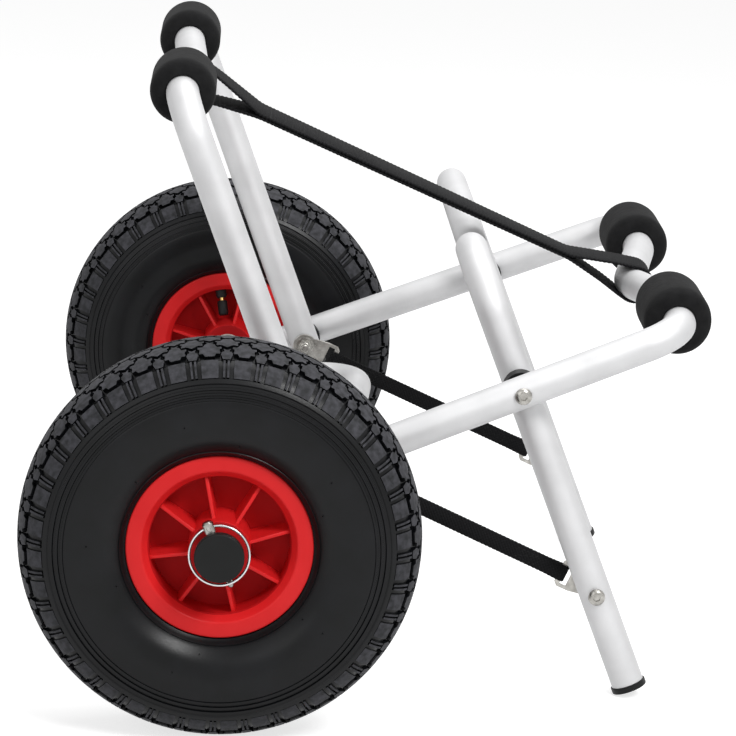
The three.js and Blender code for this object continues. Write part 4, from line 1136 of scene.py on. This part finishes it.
def ring_form(plane):
    """A snap ring of round wire that hangs from the pin's head and leans on its tip."""
    lean = math.degrees(math.asin((PIN_RADIUS + RING_WIRE + GAP) / (2 * RING_RADIUS)))
    form = turned([(RING_RADIUS + x, y) for x, y in round_outline(RING_WIRE, 12)])
    return form.placed(shift(0, plane, RING_RADIUS) @ turn_about("X", lean) @ shift(0, 0, -RING_RADIUS))


def loop_points(radius, reach):
    """A loop round (0, 0) that opens to a neck at (reach, 0), from its +Y side round its back."""
    opening = math.acos(radius / reach)
    closed = 2 * (math.pi - opening)
    return arc(radius, opening, opening + closed, round(closed * radius / WEB_KNOT_STEP))


def softened(points, rounds):
    """The same run with its corners eased, the two ends kept."""
    for _ in range(rounds):
        eased = [b * 0.5 + (a + c) * 0.25 for a, b, c in zip(points, points[1:], points[2:])]
        points = [points[0], *eased, points[-1]]
    return points


def strap_form(length, radius, reach, width, depth):
    """A strap along X, in two layers that lie together between its loops round (0, 0) and
    (length, 0). Its width is along Z, and its ends meet under the first stitches."""
    middle = depth / 2
    start_loop = loop_points(radius + middle, reach)
    end_loop = [(length - x, -y) for x, y in start_loop]
    seam = (reach + SEAM_REACH, -middle)
    circuit = [seam, (length - reach, -middle), *end_loop, (length - reach, middle)]
    circuit += [(reach, middle), *start_loop, (reach, -middle)]
    run = [Vector((x, y, 0)) for x, y in with_steps(circuit, WEB_KNOT_STEP) + [seam]]
    run = softened(run, WEB_SOFTENING)
    half = width / 2
    lip = depth * WEB_EDGE_SHARE
    edge = [(-middle, -half + lip), (-middle + lip, -half), (middle - lip, -half), (middle, -half + lip)]
    outline = [*edge, (middle, 0), *mirrored(edge), (-middle, 0)]
    knots, weave = [], []
    along = 0
    for i, (before, here, after) in enumerate(zip(run[:1] + run, run, run[1:] + run[-1:])):
        heading = (after - before).normalized()
        rib = depth * WEB_RIB * (i % 2)
        knots.append((here + Vector((heading.y, -heading.x, 0)) * rib, heading))
        along += (knots[i][0] - knots[max(i - 1, 0)][0]).length
        weave += [(along, y) for _, y in outline]
    rings = swept(knots, outline)
    for ring in rings[1::2]:
        for point in ring:
            point.z *= 1 - SELVEDGE / half
    form = skin(rings)
    form.weave = weave
    return form


def stitches(start, length, half_width, depth):
    """A sewn box with a cross in it, on both faces of two layers of webbing."""
    form = Form()
    inset = half_width - STITCH_INSET
    corners = [(start, -inset), (start + length, -inset), (start + length, inset), (start, inset)]
    lines = [*zip(corners, corners[1:] + corners[:1]), (corners[0], corners[2]), (corners[1], corners[3])]
    for (x0, z0), (x1, z1) in lines:
        run = Vector((x1 - x0, 0, z1 - z0))
        count = max(2, round(run.length / STITCH_PITCH))
        for k in range(count):
            middle = Vector((x0, 0, z0)) + run * (k + 0.5) / count
            for lift in (depth + STITCH_LIFT, -depth - STITCH_LIFT):
                form.add(stitch(middle + Vector((0, lift, 0)), run.normalized()))
    return form


def stitch(middle, heading):
    """One stitch of thread, thinner where it goes down at its ends."""
    aside = heading.cross(Vector((0, 1, 0))) * STITCH_HALF_WIDTH
    up = Vector((0, STITCH_HEIGHT, 0))
    rings = []
    for share, scale in STITCH_TAPER:
        centre = middle + heading * STITCH_HALF_LENGTH * share
        rings.append([centre + way * scale for way in (aside, up, -aside, -up)])
    return skin(rings, finish=1)


def sewn_strap(node, ends, across, strap, shape=None):
    """Makes a strap between two places, with its stitches, and bakes its place into its points.
    A function may shape its form further, as it lies along X and once it is in place."""
    start, end = ends
    run = end - start
    radius, reach = strap["loop"]
    gap, sewn = strap["sewn"]
    width, depth = strap["web"]
    form = strap_form(run.length, radius, reach, width, depth)
    for at in (reach + gap, run.length - reach - gap - sewn):
        form.add(stitches(at, sewn, width / 2, depth))
    along = run.normalized()
    place = Matrix((along, across.cross(along), across)).transposed().to_4x4()
    place.translation = start
    form = shape(form, place) if shape else form.placed(place)
    piece = make_piece(f"{node}_webbing", form, [WEBBING, THREAD], None, [node], sharp=50)
    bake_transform(piece)


def bar_bend(aside):
    """How far a crossbar has bent away from its middle, at a distance aside of it."""
    slope = math.atan(CROSSBAR_DIP / DIP_HALF_WIDTH)
    on_bend = min(abs(aside), DIP_RADIUS * math.sin(slope))
    bent = DIP_RADIUS - math.sqrt(DIP_RADIUS**2 - on_bend**2)
    return bent + (abs(aside) - on_bend) * math.tan(slope)


def follow_bar(form, centre, outwards):
    """Shifts the webbing round a crossbar, where the bar bends away at both its edges."""
    far = CRADLE["loop"][1]
    for point in form.points:
        away = point - centre
        share = (far - math.hypot(away.x, away.z)) / (far - TUBE_RADIUS * 2)
        point += outwards * min(max(share, 0), 1) * bar_bend(away.y)


def twisted(form, length):
    """The cradle strap's form, turned a little on itself near its first loop, as it hangs."""
    far = CRADLE["loop"][1]
    for point in form.points:
        rise = min(max((point.x - TUBE_RADIUS) / (far - TUBE_RADIUS), 0), 1)
        fall = min(max((length - far - point.x) / (length - 2 * far), 0), 1)
        turn = math.radians(CRADLE_TWIST) * rise * fall
        point.yz = (
            point.y * math.cos(turn) - point.z * math.sin(turn),
            point.y * math.sin(turn) + point.z * math.cos(turn),
        )
    return form


def cradle_strap():
    """The wide strap round the middles of the two padded crossbars."""
    lift = CROSSBAR_DIP - CRADLE_LIFT
    start = place_on(SUPPORT, SUPPORT_REACH - lift)
    end = place_on(MAIN, MAIN_REACH - lift)

    def shape(form, place):
        form = twisted(form, (end - start).length).placed(place)
        for centre, plane in ((start, SUPPORT), (end, MAIN)):
            follow_bar(form, centre, plane.to_3x3() @ Vector((1, 0, 0)))
        return form

    sewn_strap("cradle_strap", (start, end), Vector((0, 1, 0)), CRADLE, shape)


def stay_straps():
    """The narrow straps from the support pivots' anchors to the kickstand's."""
    heading = math.radians(stay_heading())
    along_level = Vector((math.cos(heading), 0, math.sin(heading)))
    start_place = SUPPORT.translation + along_level * ANCHOR_REACH
    end_place = place_on(KICKSTAND, STAY_BOLT_REACH) - along_level * ANCHOR_REACH
    start_width, end_width = (
        width - TUBE_RADIUS - splay_relief(splay) - ANCHOR_DEPTH / 2
        for width, splay in (
            (support_half_width(0), SUPPORT_SPLAY),
            (kickstand_half_width(STAY_BOLT_REACH), KICKSTAND_SPLAY),
        )
    )
    for side, s in SIDES:
        start = start_place + Vector((0, s * start_width, 0))
        end = end_place + Vector((0, s * end_width, 0))
        across = (end - start).normalized().cross(Vector((0, 1, 0))).normalized()
        sewn_strap(f"stay_strap_{side}", (start, end), across, STAY)


def plain_to_the_eye(tree, output, lit, seen):
    """Shows one shader to the light, and the other to the camera, mirrors and clear things."""
    path = add_node(tree, "ShaderNodeLightPath")
    eye = path.outputs["Is Camera Ray"]
    for ray in ("Is Glossy Ray", "Is Transmission Ray"):
        pair = {0: eye, 1: path.outputs[ray]}
        eye = add_node(tree, "ShaderNodeMath", pair, operation="MAXIMUM").outputs[0]
    mix = add_node(tree, "ShaderNodeMixShader", {0: eye, 1: lit.outputs[0], 2: seen.outputs[0]})
    tree.links.new(mix.outputs[0], tree.nodes[output].inputs["Surface"])


def studio():
    """A pale floor that keeps the cart's shadow, and soft light from above and before."""
    mesh = bpy.data.meshes.new("floor")
    reach = 6
    corners = [(-reach, -reach, 0), (reach, -reach, 0), (reach, reach, 0), (-reach, reach, 0)]
    mesh.from_pydata(corners, [], [(0, 1, 2, 3)])
    floor = new_object("floor", mesh)
    grey = {"Base_Color": linear("#C8C8C8"), "Roughness": 0.9, "Specular_IOR_Level": 0.0}
    material, tree, shader = new_material("pale studio floor", **grey)
    glow = add_node(tree, "ShaderNodeEmission", {"Color": (1, 1, 1, 1), "Strength": 0.72})
    both = add_node(tree, "ShaderNodeAddShader", {0: shader.outputs[0], 1: glow.outputs[0]})
    plain_to_the_eye(tree, "Material Output", shader, both)
    mesh.materials.append(material)

    world = bpy.data.worlds.new("studio")
    world.use_nodes = True
    tree = world.node_tree
    dome = tree.nodes["Background"]
    set_inputs(tree, dome, {"Color": linear("#FFFFFF"), "Strength": 0.35})
    white = add_node(tree, "ShaderNodeBackground", {"Color": (1, 1, 1, 1), "Strength": 1.0})
    plain_to_the_eye(tree, "World Output", dome, white)
    bpy.context.scene.world = world

    cart_middle = Vector((0, 0, 0.15))
    for name, place, size, watts in (
        ("top softbox", (0.3, 0.2, 2.2), 1.6, 24),
        ("front softbox", (-1.2, -2.2, 1.2), 1.4, 6),
        ("key softbox", (0.95, -1.8, 1.95), 0.7, 36),
    ):
        lamp = bpy.data.lights.new(name, "AREA")
        lamp.size = size
        lamp.energy = watts
        holder = new_object(name, lamp)
        holder.location = place
        holder.rotation_euler = (cart_middle - holder.location).to_track_quat("-Z", "Y").to_euler()


def camera():
    """The photograph's viewpoint: a long lens from the right side, a little above."""
    image_width = 736
    focal_pixels = 3567.1
    place = Vector((-95.2, -2498.8, 745.5)) * MM
    yaw, pitch, roll = 2.3, 12.8, 2.7
    lens = bpy.data.cameras.new("photograph")
    lens.sensor_width = 36
    lens.lens = lens.sensor_width * focal_pixels / image_width
    lens.clip_end = 20
    holder = new_object("photograph", lens)
    turn = turn_about("Z", -yaw) @ turn_about("X", 90 - pitch) @ turn_about("Z", roll)
    holder.matrix_world = shift(*place) @ turn
    bpy.context.scene.camera = holder


camera()
studio()
plugs(bent_tubes())
foam_pads()
wheels()
pivot_hardware()
stay_hardware()
axle_hardware()
cradle_strap()
stay_straps()

bpy.context.scene.view_settings.view_transform = "Standard"
